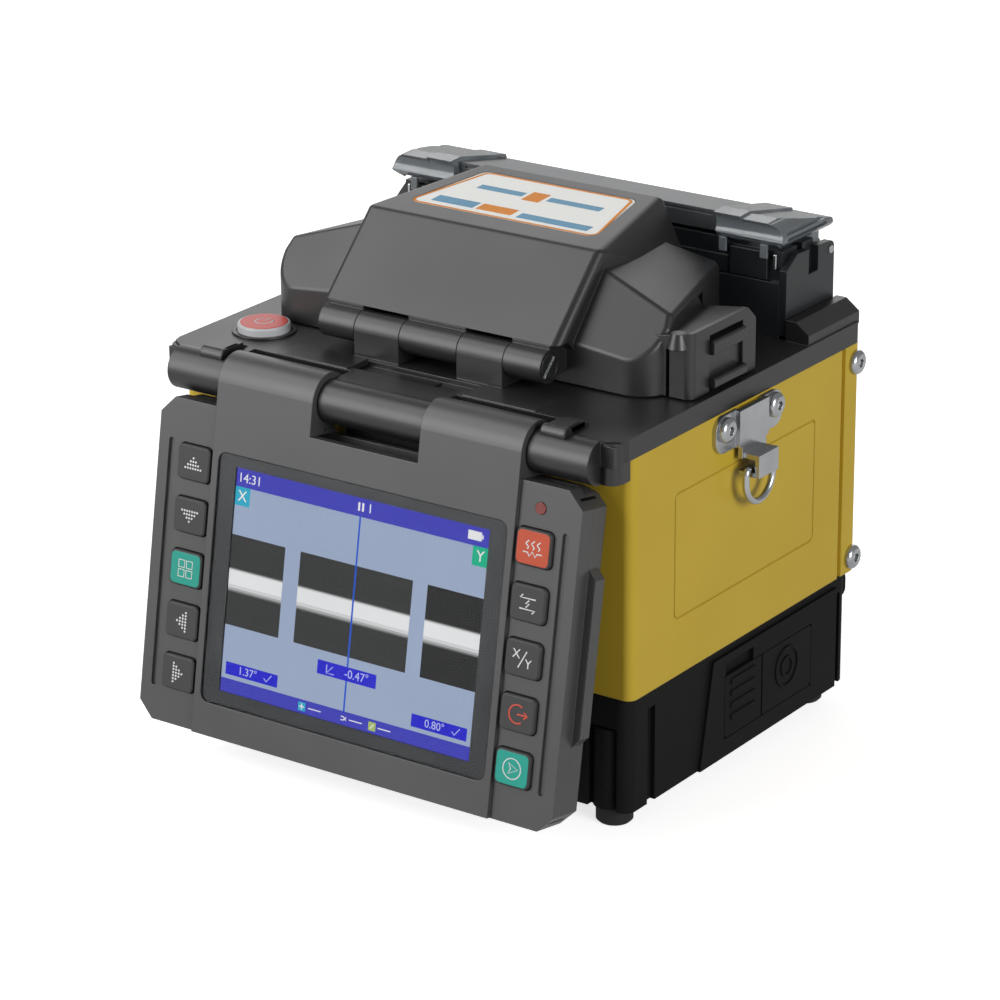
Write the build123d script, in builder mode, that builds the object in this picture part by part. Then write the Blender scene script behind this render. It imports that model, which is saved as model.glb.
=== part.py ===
from build123d import *
import os
from math import cos, radians, sin

os.makedirs("parts", exist_ok=True)

# Fibre fusion splicer, bench and field size. Millimetres, +Z up, +X to the operator's right, -Y towards
# the operator. While it is modelled, Y = 0 is the middle of the case; the finished pieces are then set back
# so that the origin lies under the middle of the whole object's box, monitor included.

# ---------------------------------------------------------------- case
case_width = 160.0
case_depth = 127.6
foot_height = 6.0
foot_diameter = 11.0
foot_inset = 10.8
base_height = 36.1
case_height = 73.5
deck_thickness = 6.6
sheet = 1.5
base_wall = 3.0
base_inset = 1.6
base_corner = 4.0
running_gap = 0.3
seat_gap = 0.1
pin_clearance = 0.05

half_w = case_width / 2
half_d = case_depth / 2
base_top_z = foot_height + base_height
case_top_z = base_top_z + case_height
deck_z = case_top_z + deck_thickness

# ---------------------------------------------------------------- monitor
monitor_width = case_width - 10.0
monitor_tilt = 9.77
hinge_ahead = 5.1
hinge_below_deck = 6.3
barrel_r = 6.5
knuckle_r = 8.4
knuckle_in = 19.2
knuckle_out = 53.8
hinge_pin_r = 2.0
panel_drop = 106.4
panel_rise = 7.7
wing_step = 1.2
front_depth = 5.6
back_depth = 6.4
glass_width = 103.0
glass_height = 75.8
glass_top_drop = 20.4
glass_thickness = 1.3
display_width = 96.0
display_height = 72.0
key_width = 11.8
key_height = 10.6
key_pitch = 16.0
grip_proud = 2.6
key_x = 60.6
key_first_drop = 26.0
key_travel = 0.6
key_proud = 1.3
keys_left = ("key_up", "key_down", "key_menu", "key_left", "key_right")
keys_right = ("key_heat", "key_arc", "key_axis", "key_reset", "key_start")

hinge_y = -half_d - hinge_ahead
hinge_z = deck_z - hinge_below_deck

# ---------------------------------------------------------------- wind cover
cover_hinge_y = -half_d + 21.3
cover_hinge_z = deck_z + 7.6
cover_barrel_r = 5.0
cover_pin_r = 1.5
cover_post_in = 10.4
cover_post_out = 26.4
cover_barrel_end = 39.5
hood_half = 42.0
hood_rear_half = 31.7
cover_wall = 2.5
cover_gap = 0.5
ridge_y = -half_d + 44.2
ridge_z = deck_z + 36.4
hood_top_rise = 3.3
wing_half = half_w - 11.0
wing_corner = 10.0
wing_root_y = 19.0
wing_root_half = 38.6
wing_rear_y = 24.6
wing_rear_half = 54.6
wing_inner_z = deck_z + 30.0
wing_outer_z = deck_z + 22.7
wing_front_z = deck_z + 11.4
latch_face = half_w - 2.0
latch_inner = half_w - 10.4
latch_front_y = -28.0
latch_rear_y = 6.5
latch_top_z = deck_z + 20.2
label_front_half = 33.5
label_rear_half = 27.4
label_depth = 32.0
label_thickness = 0.6

# ---------------------------------------------------------------- heater
heater_half = half_w - 11.4
heater_depth = 26.4
heater_rear_inset = 2.8
heater_ledge_z = deck_z + 17.0
heater_top_z = deck_z + 26.4
heater_crown_z = deck_z + 27.8
heater_pin_z = deck_z + 21.7
heater_pin_r = 1.25
end_plate = 2.4
clamp_inner = 47.7
clamp_outer = half_w - 9.1
clamp_step_x = 57.0
channel_half = 45.0

# ---------------------------------------------------------------- splicing stage
fibre_y = 12.0
fibre_z = deck_z + 2.8
chamber_half = 39.2
chamber_front_y = -30.0
chamber_rear_y = 27.0
platform_thickness = 3.0
holder_inner = 17.5
holder_outer = 34.5
holder_ear = 3.4
stage_travel = 2.0

# ---------------------------------------------------------------- side fittings
bracket_y = -1.7
bracket_screw_spread = 13.3
bracket_screw_z = deck_z - 11.2
bracket_plate = 1.5
ring_wire = 2.1
ring_half = 7.3
screw_head_r = 3.8
screw_head_h = 2.2
screw_shank_r = 2.0
screw_reach = 2.7
hex_socket = 2.5
rear_strip = 8.8
rear_gap = 2.0

pieces = {}


def keep(node, piece):
    """Names a finished piece and puts it with the others."""
    piece.label = node
    pieces[node] = piece


def block(x, y, z, mode=Mode.ADD):
    """A box given by its low and high X, Y and Z."""
    with Locations(((x[0] + x[1]) / 2, (y[0] + y[1]) / 2, (z[0] + z[1]) / 2)):
        Box(x[1] - x[0], y[1] - y[0], z[1] - z[0], mode=mode)


def bar_x(x, y, z, radius, mode=Mode.ADD):
    """A round bar along X, from x[0] to x[1]."""
    with Locations(Location(((x[0] + x[1]) / 2, y, z), (0, 90, 0))):
        Cylinder(radius, x[1] - x[0], mode=mode)


def sided(side, low, high):
    """An X range given on the right, on the chosen side."""
    return (low, high) if side > 0 else (-high, -low)


# ================================================================ feet
foot_x = half_w - foot_inset
foot_y = half_d - foot_inset
spigot_r = 3.0
spigot_h = 1.6
with BuildPart() as feet:
    with BuildSketch():
        with GridLocations(2 * foot_x, 2 * foot_y, 2, 2):
            Circle(foot_diameter / 2)
    extrude(amount=foot_height)
    chamfer(feet.edges().group_by(Axis.Z)[0], 0.8)
    with BuildSketch(Plane.XY.offset(foot_height)):
        with GridLocations(2 * foot_x, 2 * foot_y, 2, 2):
            Circle(spigot_r)
    extrude(amount=spigot_h)
keep("feet", feet.part)

# ================================================================ base tray
base_half = half_w - base_inset
base_front_y = -half_d + 3.8
base_rear_y = half_d - 1.6
base_mid_y = (base_front_y + base_rear_y) / 2
base_depth = base_rear_y - base_front_y
proud = 1.0
corner_post_top = foot_height + 26.0
side_slot_y = base_front_y + 12.0
ledge_z = (foot_height + 26.0, foot_height + 33.0)
ledge_out = 4.1
cover_y = (-10.0, 39.5)
cover_z = (foot_height + 5.7, foot_height + 26.0)
cover_plate = 1.4
with BuildPart() as base_tray:
    with BuildSketch(Plane.XY.offset(foot_height)):
        with Locations((0, base_mid_y)):
            RectangleRounded(2 * base_half, base_depth, base_corner)
    extrude(amount=base_height)
    for side in (-1, 1):
        with BuildSketch(Plane.YZ.offset(side * base_half)):
            with BuildLine():
                Polyline(
                    (-16, base_top_z - 3.5),
                    (-23, foot_height),
                    (base_rear_y - 8, foot_height),
                    (base_rear_y - 8, base_top_z - 3.5),
                    close=True,
                )
            make_face()
        extrude(amount=side * proud)
    block(
        (-base_half + 3, base_half - 3),
        (base_rear_y - 1, base_rear_y + ledge_out),
        ledge_z,
    )
    ledge_edges = base_tray.edges().filter_by(Axis.X).group_by(Axis.Y)[-1]
    fillet(ledge_edges, 2.0)
    with BuildSketch(Plane.XY.offset(foot_height + base_wall)):
        with Locations((0, base_mid_y)):
            RectangleRounded(2 * (base_half - base_wall), base_depth - 2 * base_wall, 2)
    extrude(amount=base_height, mode=Mode.SUBTRACT)
    for side in (-1, 1):
        block(
            sided(side, base_half - 1.6, base_half + 1),
            (side_slot_y - 2, side_slot_y + 2),
            (foot_height, foot_height + 30),
            Mode.SUBTRACT,
        )
        block(
            sided(side, base_half - 1.6, base_half + 1),
            (base_rear_y - 6.5, base_rear_y - 4.5),
            (foot_height, foot_height + 30),
            Mode.SUBTRACT,
        )
        block(
            sided(side, base_half - 14, base_half - 4),
            (base_front_y, base_front_y + 2),
            (foot_height, corner_post_top),
            Mode.SUBTRACT,
        )
        block(
            sided(side, base_half + proud - cover_plate - seat_gap, base_half + 4),
            cover_y,
            cover_z,
            Mode.SUBTRACT,
        )
        block(
            sided(side, base_half + proud - 1.6, base_half + 4),
            (cover_y[0] + 0.5, cover_y[0] + 16),
            (cover_z[1] - 0.5, cover_z[1] + 4),
            Mode.SUBTRACT,
        )
    with BuildSketch(Plane.XY.offset(foot_height)):
        with Locations((-foot_x, base_front_y + 5), (foot_x, base_front_y + 5)):
            Circle(foot_diameter / 2 - 0.3)
    extrude(amount=corner_post_top - foot_height - 1)
    with BuildSketch(Plane.XY.offset(foot_height)):
        with GridLocations(2 * foot_x, 2 * foot_y, 2, 2):
            Circle(spigot_r + seat_gap)
    extrude(amount=spigot_h + seat_gap, mode=Mode.SUBTRACT)
keep("base_tray", base_tray.part)

# Blank cover plates that snap into the pockets in the base's sides, one of them over the battery bay.
with BuildPart() as base_covers:
    for side in (-1, 1):
        block(
            sided(side, base_half + proud - cover_plate, base_half + proud),
            (cover_y[0] + running_gap, cover_y[1] - running_gap),
            (cover_z[0] + running_gap, cover_z[1] - running_gap),
        )
    plate_edges = base_covers.edges().filter_by(Axis.X)
    fillet(plate_edges, 1.2)
    for side in (-1, 1):
        block(
            sided(side, base_half + proud - 0.5, base_half + proud + 1),
            (cover_y[0] + 20.6, cover_y[0] + 21.4),
            (cover_z[0], cover_z[1]),
            Mode.SUBTRACT,
        )
keep("base_covers", base_covers.part)

# ================================================================ sheet metal case
shell_front_y = -half_d + 2.8
shell_corner = 3.0
shell_split_y = half_d - rear_strip - rear_gap
joggle = 1.2
panel_line_y = (-39.0, 38.0)
panel_line_z = (base_top_z + 17.6, case_top_z - 17.1)
line_width = 0.5
line_depth = 0.4
rear_screw_z = (base_top_z + 4.9, case_top_z - 5.8)
rear_screw_y = half_d - 3.0
bracket_screws_y = (bracket_y - bracket_screw_spread, bracket_y + bracket_screw_spread)
with BuildPart() as case_shell:
    block((-half_w, half_w), (shell_front_y, shell_split_y), (base_top_z, case_top_z))
    corner_edges = case_shell.edges().filter_by(Axis.Z).group_by(Axis.Y)[0]
    fillet(corner_edges, shell_corner)
    with BuildSketch(Plane.XY.offset(base_top_z)):
        with Locations((0, (shell_front_y + sheet + half_d) / 2)):
            RectangleRounded(
                case_width - 2 * sheet, half_d - shell_front_y - sheet, shell_corner - sheet
            )
    extrude(amount=case_height, mode=Mode.SUBTRACT)
    for side in (-1, 1):
        flange_x = sided(side, half_w - joggle - sheet, half_w - joggle)
        block(flange_x, (shell_split_y - 1.5, rear_screw_y + 1.2), (base_top_z, case_top_z))
        with BuildSketch(Plane.YZ.offset(side * half_w)):
            with Locations((sum(panel_line_y) / 2, sum(panel_line_z) / 2)):
                line_w = panel_line_y[1] - panel_line_y[0]
                line_h = panel_line_z[1] - panel_line_z[0]
                RectangleRounded(line_w, line_h, 2)
                inner_w = line_w - 2 * line_width
                inner_h = line_h - 2 * line_width
                RectangleRounded(inner_w, inner_h, 2 - line_width, mode=Mode.SUBTRACT)
        extrude(amount=-side * line_depth, mode=Mode.SUBTRACT)
        with BuildSketch(Plane.YZ.offset(side * (half_w + 1))):
            with Locations(*[(y, bracket_screw_z) for y in bracket_screws_y]):
                Circle(screw_shank_r + pin_clearance)
            with Locations(*[(rear_screw_y, z) for z in rear_screw_z]):
                Circle(screw_shank_r + pin_clearance)
        extrude(amount=-side * 6, mode=Mode.SUBTRACT)
        # Relief for the monitor's knuckle.
        block(
            sided(side, knuckle_in - 0.4, knuckle_out + 0.4),
            (shell_front_y - 1, shell_front_y + sheet + 0.1),
            (hinge_z - 4.4, case_top_z + 1),
            Mode.SUBTRACT,
        )
keep("case_shell", case_shell.part)

# ================================================================ rear panel with its ports
rear_wing = joggle
dc_x = -45.0
usb_x = -18.0
port_z = base_top_z + 22.0
dc_barrel_r = 4.4
usb_width = 14.6
usb_height = 7.4
vent_x = 34.0
with BuildPart() as rear_panel:
    block((-half_w, half_w), (half_d - rear_strip, half_d), (base_top_z, case_top_z))
    rear_edges = rear_panel.edges().filter_by(Axis.Z).group_by(Axis.Y)[-1]
    fillet(rear_edges, 2.5)
    block(
        (-half_w + rear_wing, half_w - rear_wing),
        (half_d - rear_strip - 1, half_d - sheet),
        (base_top_z, case_top_z),
        Mode.SUBTRACT,
    )
    for side in (-1, 1):
        with BuildSketch(Plane.YZ.offset(side * (half_w + 1))):
            with Locations(*[(rear_screw_y, z) for z in rear_screw_z]):
                Circle(screw_shank_r + pin_clearance)
        extrude(amount=-side * 6, mode=Mode.SUBTRACT)
    with BuildSketch(Plane.XZ.offset(-half_d - 1)):
        with Locations((dc_x, port_z)):
            Circle(dc_barrel_r + seat_gap)
        with Locations((usb_x, port_z)):
            RectangleRounded(usb_width + 2 * seat_gap, usb_height + 2 * seat_gap, 1.2)
        with Locations((vent_x, port_z + 8)):
            with GridLocations(4.6, 0, 8, 1):
                SlotOverall(24, 2.2, rotation=90)
    extrude(amount=sheet + 2, mode=Mode.SUBTRACT)
keep("rear_panel", rear_panel.part)

with BuildPart() as dc_socket:
    with BuildSketch(Plane.XZ.offset(-half_d)):
        with Locations((dc_x, port_z)):
            Circle(dc_barrel_r)
    extrude(amount=9)
    block(
        (dc_x - 7, dc_x + 7), (half_d - 11, half_d - sheet - seat_gap), (port_z - 6, port_z + 6)
    )
    with BuildSketch(Plane.XZ.offset(-half_d)):
        with Locations((dc_x, port_z)):
            Circle(3.2)
    extrude(amount=8, mode=Mode.SUBTRACT)
keep("dc_socket", dc_socket.part)

with BuildPart() as usb_socket:
    with BuildSketch(Plane.XZ.offset(-half_d)):
        with Locations((usb_x, port_z)):
            RectangleRounded(usb_width, usb_height, 1.1)
    extrude(amount=14)
    block(
        (usb_x - 9, usb_x + 9), (half_d - 4, half_d - sheet - seat_gap), (port_z - 5, port_z + 5)
    )
    with BuildSketch(Plane.XZ.offset(-half_d)):
        with Locations((usb_x, port_z)):
            RectangleRounded(usb_width - 2, usb_height - 2, 0.5)
    extrude(amount=11, mode=Mode.SUBTRACT)
keep("usb_socket", usb_socket.part)

# ================================================================ inner chassis, boards and battery
chassis_half = half_w - joggle - sheet - 0.2
chassis_sheet = 2.0
post_r = 3.0
post_x = half_w - 10.0
post_front_y = -half_d + 10.2
post_rear_y = half_d - 14.0
board_z = base_top_z + chassis_sheet + 6.0
board_x = 50.0
board_y = 34.0
with BuildPart() as chassis:
    block(
        (-chassis_half, chassis_half),
        (shell_front_y + sheet + 0.2, half_d - sheet - 0.8),
        (base_top_z, base_top_z + chassis_sheet),
    )
    with BuildSketch(Plane.XY.offset(base_top_z + chassis_sheet)):
        with Locations(*[(s * post_x, y) for s in (-1, 1) for y in (post_front_y, post_rear_y)]):
            Circle(post_r)
    extrude(amount=case_height - chassis_sheet)
    with BuildSketch(Plane.XY.offset(base_top_z + chassis_sheet)):
        with GridLocations(2 * board_x, 2 * board_y, 2, 2):
            Circle(2.5)
    extrude(amount=board_z - base_top_z - chassis_sheet)
keep("chassis", chassis.part)

board_thickness = 1.6
with BuildPart() as main_board:
    block(
        (-board_x - 5, board_x + 5), (-board_y - 5, board_y + 5), (board_z, board_z + board_thickness)
    )
    chips_z = board_z + board_thickness
    block((-34, -16), (-24, -6), (chips_z, chips_z + 2.2))
    block((4, 16), (-28, -18), (chips_z, chips_z + 1.4))
    block((-44, -30), (14, 24), (chips_z, chips_z + 8))
    block((34, 50), (-30, -22), (chips_z, chips_z + 6))
    # Transformer for the arc, soldered to the board.
    block((14, 42), (0, 26), (chips_z, chips_z + 20))
    block((20, 36), (-2, 28), (chips_z + 3, chips_z + 17))
keep("main_board", main_board.part)

battery_z = foot_height + base_wall
with BuildPart() as battery_pack:
    block((-52, 52), (-32, 32), (battery_z, battery_z + 27))
    pack_edges = battery_pack.edges().filter_by(Axis.X)
    fillet(pack_edges, 5)
keep("battery_pack", battery_pack.part)

# ================================================================ top deck
web_y = hinge_y
leg_y = (-half_d - 1.5, shell_front_y - 0.2)
leg_z = hinge_z - barrel_r
deck_front_y = -half_d + 4.6
barrel_end = half_w - 5.5
barrel_parts = ((-barrel_end, -knuckle_out - 0.4), (-knuckle_in + 0.4, knuckle_in - 0.4))
barrel_parts += ((knuckle_out + 0.4, barrel_end),)
cheek_z = deck_z + 6.4
cheek_front_y = half_d - heater_rear_inset - heater_depth - 0.6
cheek_inner = heater_half + end_plate + 0.5
button_x = -half_w + 17.4
button_y = -half_d + 19.7
button_hole_r = 8.9
button_r = 8.0
button_travel = 0.8
post_parts = ((-cover_post_out, -cover_post_in), (cover_post_in, cover_post_out))
with BuildPart() as top_deck:
    with BuildSketch(Plane.XY.offset(case_top_z)):
        with BuildLine():
            front_corner = Polyline(
                (0, half_d), (half_w, half_d), (half_w, -half_d + 1), (half_w - 1, -half_d - 2)
            )
            Polyline(front_corner @ 1, (barrel_end, hinge_y), (knuckle_out + 0.4, hinge_y))
            Polyline(
                (knuckle_out + 0.4, hinge_y), (knuckle_out + 0.4, deck_front_y), (0, deck_front_y)
            )
            mirror(about=Plane.YZ)
        make_face()
    extrude(amount=deck_thickness)
    rear_corner = top_deck.edges().filter_by(Axis.Z).group_by(Axis.Y)[-1]
    fillet(rear_corner, 2.5)
    for part_x in barrel_parts:
        bar_x(part_x, hinge_y, hinge_z, barrel_r)
    block(
        (-knuckle_in + 0.4, knuckle_in - 0.4), (hinge_y, deck_front_y + 1), (case_top_z, deck_z)
    )
    for side in (-1, 1):
        block(
            sided(side, knuckle_out + 0.4, half_w - 1),
            (hinge_y, leg_y[1]),
            (hinge_z - 1, deck_z - 1),
        )
        block(sided(side, knuckle_out + 0.4, half_w - 0.6), leg_y, (leg_z, deck_z - 1))
        block(
            sided(side, cheek_inner, half_w - 0.5),
            (cheek_front_y, half_d - 0.5),
            (deck_z - 1, cheek_z),
        )
    cheek_edges = top_deck.edges().filter_by(Axis.Y).filter_by_position(Axis.Z, cheek_z - 0.1, cheek_z + 0.1)
    cheek_outer = cheek_edges.filter_by(lambda e: abs(e.center().X) > cheek_inner + 2)
    chamfer(cheek_outer, 4.6, 3.4)
    # The wedge-shaped stops that meet the monitor's knuckles.
    for side in (-1, 1):
        with BuildSketch(Plane.YZ.offset(side * (knuckle_out + 7))):
            with BuildLine():
                Polyline(
                    (hinge_y - 1, deck_z - 0.5),
                    (hinge_y - 1, deck_z + 2.4),
                    (hinge_y + 5, deck_z + 2.4),
                    (hinge_y + 12, deck_z - 0.5),
                    close=True,
                )
            make_face()
        extrude(amount=3.2, both=True)
    # Apron that closes the gap behind the middle barrel.
    block(
        (-knuckle_in + 0.4, knuckle_in - 0.4),
        (leg_y[1] - 1.4, leg_y[1]),
        (hinge_z - 16, deck_z - 1),
    )
    # Posts that carry the wind cover's pin.
    for part_x in post_parts:
        bar_x(part_x, cover_hinge_y, cover_hinge_z, cover_barrel_r)
        block(
            part_x,
            (cover_hinge_y - cover_barrel_r, cover_hinge_y + cover_barrel_r),
            (deck_z - 1, cover_hinge_z),
        )
    # Skirt that drops inside the case.
    with BuildSketch(Plane.XY.offset(case_top_z)):
        with Locations((0, (shell_front_y + half_d) / 2)):
            skirt_w = 2 * (half_w - joggle - sheet - 0.2)
            skirt_d = half_d - shell_front_y - 2 * sheet - 0.4
            RectangleRounded(skirt_w, skirt_d, 2)
            RectangleRounded(skirt_w - 4, skirt_d - 4, 1, mode=Mode.SUBTRACT)
    extrude(amount=-5)
    # Splicing chamber, shallow tray in front of the cover, and the holes.
    block(
        (-chamber_half, chamber_half),
        (chamber_front_y, chamber_rear_y),
        (case_top_z - 1, deck_z + 1),
        Mode.SUBTRACT,
    )
    block((-36, 36), (deck_front_y + 2.4, cover_hinge_y - 6.5), (deck_z - 1.6, deck_z + 1), Mode.SUBTRACT)
    bar_x((-barrel_end + 2, barrel_end - 2), hinge_y, hinge_z, hinge_pin_r + 0.03, Mode.SUBTRACT)
    bar_x(
        (-cover_post_out - 1, cover_post_out + 1),
        cover_hinge_y,
        cover_hinge_z,
        cover_pin_r + pin_clearance,
        Mode.SUBTRACT,
    )
    with BuildSketch(Plane.XY.offset(deck_z + 0.5)):
        with Locations((button_x, button_y)):
            Circle(button_hole_r)
    extrude(amount=-deck_thickness - 1, mode=Mode.SUBTRACT)
keep("top_deck", top_deck.part)

# ================================================================ power button
collar_r = 9.7
with BuildPart() as power_collar:
    with BuildSketch(Plane.XY.offset(deck_z)):
        with Locations((button_x, button_y)):
            Circle(collar_r)
    extrude(amount=0.5)
    with BuildSketch(Plane.XY.offset(deck_z)):
        with Locations((button_x, button_y)):
            Circle(button_hole_r - seat_gap)
    extrude(amount=-deck_thickness - 4)
    with BuildSketch(Plane.XY.offset(deck_z + 2)):
        with Locations((button_x, button_y)):
            Circle(button_r + running_gap)
    extrude(amount=-9, mode=Mode.SUBTRACT)
keep("power_collar", power_collar.part)

with BuildPart() as power_button:
    with BuildSketch(Plane.XY.offset(deck_z - 5.5)):
        with Locations((button_x, button_y)):
            Circle(button_r)
    extrude(amount=8.3)
    fillet(power_button.edges().group_by(Axis.Z)[-1], 0.6)
keep("power_button", power_button.part)

# ================================================================ monitor
tilt = radians(monitor_tilt)
out = (0, -cos(tilt), sin(tilt))
up = (0, sin(tilt), cos(tilt))
hinge_plane = Plane(origin=(0, hinge_y, hinge_z), x_dir=(1, 0, 0), z_dir=out)
face = hinge_plane.offset(knuckle_r)
wing_face = face.offset(-wing_step)
seam = face.offset(-wing_step - front_depth)
rear_face = face.offset(-wing_step - front_depth - back_depth)
strip_half = knuckle_out
notch_top = -10.0
wall = 2.2
panel_height = panel_drop - panel_rise
panel_mid = -(panel_drop + panel_rise) / 2
key_rows = [-key_first_drop - key_pitch * i for i in range(5)]
glass_mid = -glass_top_drop - glass_height / 2
display_mid = glass_mid
led_at = (key_x + 0.6, -14.6)
barrel_room = barrel_r + 0.6
with BuildPart() as monitor_front:
    with BuildSketch(wing_face):
        with Locations((0, panel_mid)):
            outline = Rectangle(monitor_width, panel_height)
        chamfer(outline.vertices(), 5.0)
    extrude(amount=-front_depth)
    with BuildSketch(face):
        with Locations((0, panel_mid)):
            Rectangle(2 * strip_half, panel_height)
    extrude(amount=-wing_step - front_depth)
    for side in (-1, 1):
        arm_x = sided(side, knuckle_in, knuckle_out)
        bar_x(arm_x, hinge_y, hinge_z, knuckle_r)
        with BuildSketch(face):
            with Locations(((arm_x[0] + arm_x[1]) / 2, -panel_rise / 2)):
                Rectangle(arm_x[1] - arm_x[0], panel_rise)
        extrude(amount=-knuckle_r)
    # Notch that leaves the middle of the hinge barrel bare.
    with BuildSketch(face.offset(1)):
        with Locations((0, notch_top + 10)):
            Rectangle(2 * knuckle_in, 20)
    extrude(amount=-20, mode=Mode.SUBTRACT)
    bar_x((-monitor_width, monitor_width), hinge_y, hinge_z, hinge_pin_r + pin_clearance, Mode.SUBTRACT)
    # Hollow behind the front wall.
    with BuildSketch(seam):
        with Locations((0, panel_mid)):
            Rectangle(monitor_width - 2 * wall, panel_height - 2 * wall)
    extrude(amount=front_depth - wall, mode=Mode.SUBTRACT)
    # Glass pocket, the window behind it, the key holes and the lamp hole.
    with BuildSketch(face):
        with Locations((0, glass_mid)):
            RectangleRounded(glass_width + 0.2, glass_height + 0.2, 3)
    extrude(amount=-glass_thickness - 0.2, mode=Mode.SUBTRACT)
    with BuildSketch(face):
        with Locations((0, display_mid)):
            Rectangle(display_width + 0.6, display_height + 0.6)
    extrude(amount=-8, mode=Mode.SUBTRACT)
    with BuildSketch(face):
        with Locations(*[(s * key_x, row) for s in (-1, 1) for row in key_rows]):
            RectangleRounded(key_width + 2 * running_gap, key_height + 2 * running_gap, 1.9)
        with Locations(led_at):
            Circle(1.8)
    extrude(amount=-8, mode=Mode.SUBTRACT)
    # Long finger grooves beside the keys.
    with BuildSketch(wing_face):
        with Locations(*[(s * (key_x + 9.6), (key_rows[0] + key_rows[-1]) / 2) for s in (-1, 1)]):
            SlotOverall(key_pitch * 4 + 12, 2.0, rotation=90)
    extrude(amount=-0.8, mode=Mode.SUBTRACT)
keep("monitor_front", monitor_front.part)

with BuildPart() as monitor_back:
    with BuildSketch(seam):
        with Locations((0, panel_mid)):
            back_outline = Rectangle(monitor_width, panel_height)
        chamfer(back_outline.vertices(), 5.0)
    extrude(amount=-back_depth)
    back_edges = monitor_back.faces().sort_by(Axis.Y)[-1].edges()
    chamfer(back_edges, 2.0)
    with BuildSketch(seam):
        with Locations((0, panel_mid)):
            Rectangle(monitor_width - 2 * wall, panel_height - 2 * wall)
            Rectangle(2 * 36, panel_height - 2 * wall - 8)
    extrude(amount=-(back_depth - wall), mode=Mode.SUBTRACT)
    with BuildSketch(face.offset(1)):
        with Locations((0, notch_top + 10)):
            Rectangle(2 * knuckle_in, 20)
    extrude(amount=-25, mode=Mode.SUBTRACT)
    bar_x((-knuckle_out - 0.4, knuckle_out + 0.4), hinge_y, hinge_z, knuckle_r + seat_gap, Mode.SUBTRACT)
    # Raised grips down the two sides.
    grip_top, grip_bottom = -glass_top_drop - 8, -glass_top_drop - 63
    for side in (-1, 1):
        with BuildSketch(hinge_plane.offset(knuckle_r - wing_step - front_depth - 0.4)):
            with BuildLine():
                Polyline(
                    (side * (monitor_width / 2 - 1.5), grip_top),
                    (side * (monitor_width / 2 + grip_proud), grip_top - 4.5),
                    (side * (monitor_width / 2 + grip_proud), grip_bottom + 4.5),
                    (side * (monitor_width / 2 - 1.5), grip_bottom),
                    close=True,
                )
            make_face()
        extrude(amount=-4.6)
keep("monitor_back", monitor_back.part)

with BuildPart() as screen_glass:
    with BuildSketch(face.offset(-0.2)):
        with Locations((0, glass_mid)):
            RectangleRounded(glass_width, glass_height, 2.9)
    extrude(amount=-glass_thickness)
keep("screen_glass", screen_glass.part)

with BuildPart() as display_module:
    with BuildSketch(face.offset(-0.2 - glass_thickness)):
        with Locations((0, display_mid)):
            Rectangle(display_width, display_height)
    extrude(amount=-4.2)
keep("display_module", display_module.part)

with BuildPart() as status_lamp:
    with BuildSketch(wing_face.offset(0.3)):
        with Locations(led_at):
            Circle(1.7)
    extrude(amount=-3.4)
keep("status_lamp", status_lamp.part)

keypad_gap = 0.8
board_front = face.offset(-wing_step - front_depth - back_depth + wall + 1.6)
with BuildPart() as keypad_boards:
    with BuildSketch(board_front):
        with Locations(*[(s * (key_x + 0.4), (key_rows[0] + key_rows[-1]) / 2) for s in (-1, 1)]):
            Rectangle(15, key_pitch * 4 + 14)
    extrude(amount=-1.6)
keep("keypad_boards", keypad_boards.part)

key_foot = front_depth + back_depth - wall - 1.6 - keypad_gap
for x_side, names in ((-1, keys_left), (1, keys_right)):
    for name, row in zip(names, key_rows):
        with BuildPart() as key:
            with BuildSketch(wing_face.offset(key_proud)):
                with Locations((x_side * key_x, row)):
                    RectangleRounded(key_width, key_height, 1.6)
            extrude(amount=-key_proud - wall - 0.1)
            with BuildSketch(wing_face.offset(-wall - 0.1)):
                with Locations((x_side * key_x, row)):
                    RectangleRounded(key_width + 1.6, key_height + 1.6, 1.8)
            extrude(amount=-1.0)
            with BuildSketch(wing_face.offset(-wall - 1.1)):
                with Locations((x_side * key_x, row)):
                    Circle(2.5)
            extrude(amount=-(key_foot - wall - 1.1))
            top_edges = key.faces().filter_by(Plane(origin=(0, 0, 0), z_dir=out)).sort_by(
                Axis(hinge_plane.origin, out)
            )[-1].edges()
            fillet(top_edges, 0.6)
        keep(name, key.part)

with BuildPart() as monitor_hinge_pin:
    bar_x((-barrel_end + 2.2, barrel_end - 2.2), hinge_y, hinge_z, hinge_pin_r)
keep("monitor_hinge_pin", monitor_hinge_pin.part)

# ================================================================ wind cover
skirt_z = deck_z + cover_gap
skirt_front_y = -half_d + 29.7
hood_rear_y = half_d - heater_rear_inset - heater_depth - 5.9
hood_lip_z = cover_hinge_z + 6.1
wing_a = Vector(hood_half + 3, ridge_y + 0.8, wing_inner_z)
wing_b = Vector(wing_half, ridge_y - 3.6, wing_outer_z)
wing_d = Vector(wing_root_half, wing_root_y, wing_inner_z - 1.2)
wing_f = Vector(wing_half - 10, skirt_front_y, wing_front_z)
roof_out = (wing_b - wing_a).cross(wing_d - wing_a).normalized()
slope_out = (wing_f - wing_a).cross(wing_b - wing_a).normalized()
hood_round = 2.6
wing_round = 2.0
label_corners = (
    (-label_front_half, -label_depth / 2),
    (label_front_half, -label_depth / 2),
    (label_rear_half, label_depth / 2),
    (-label_rear_half, label_depth / 2),
)
hood_f = Vector(hood_half, ridge_y, ridge_z)
hood_r = Vector(hood_rear_half, hood_rear_y, ridge_z + hood_top_rise)
taper_out = (wing_a - hood_f).cross(hood_r - hood_f).normalized()


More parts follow.
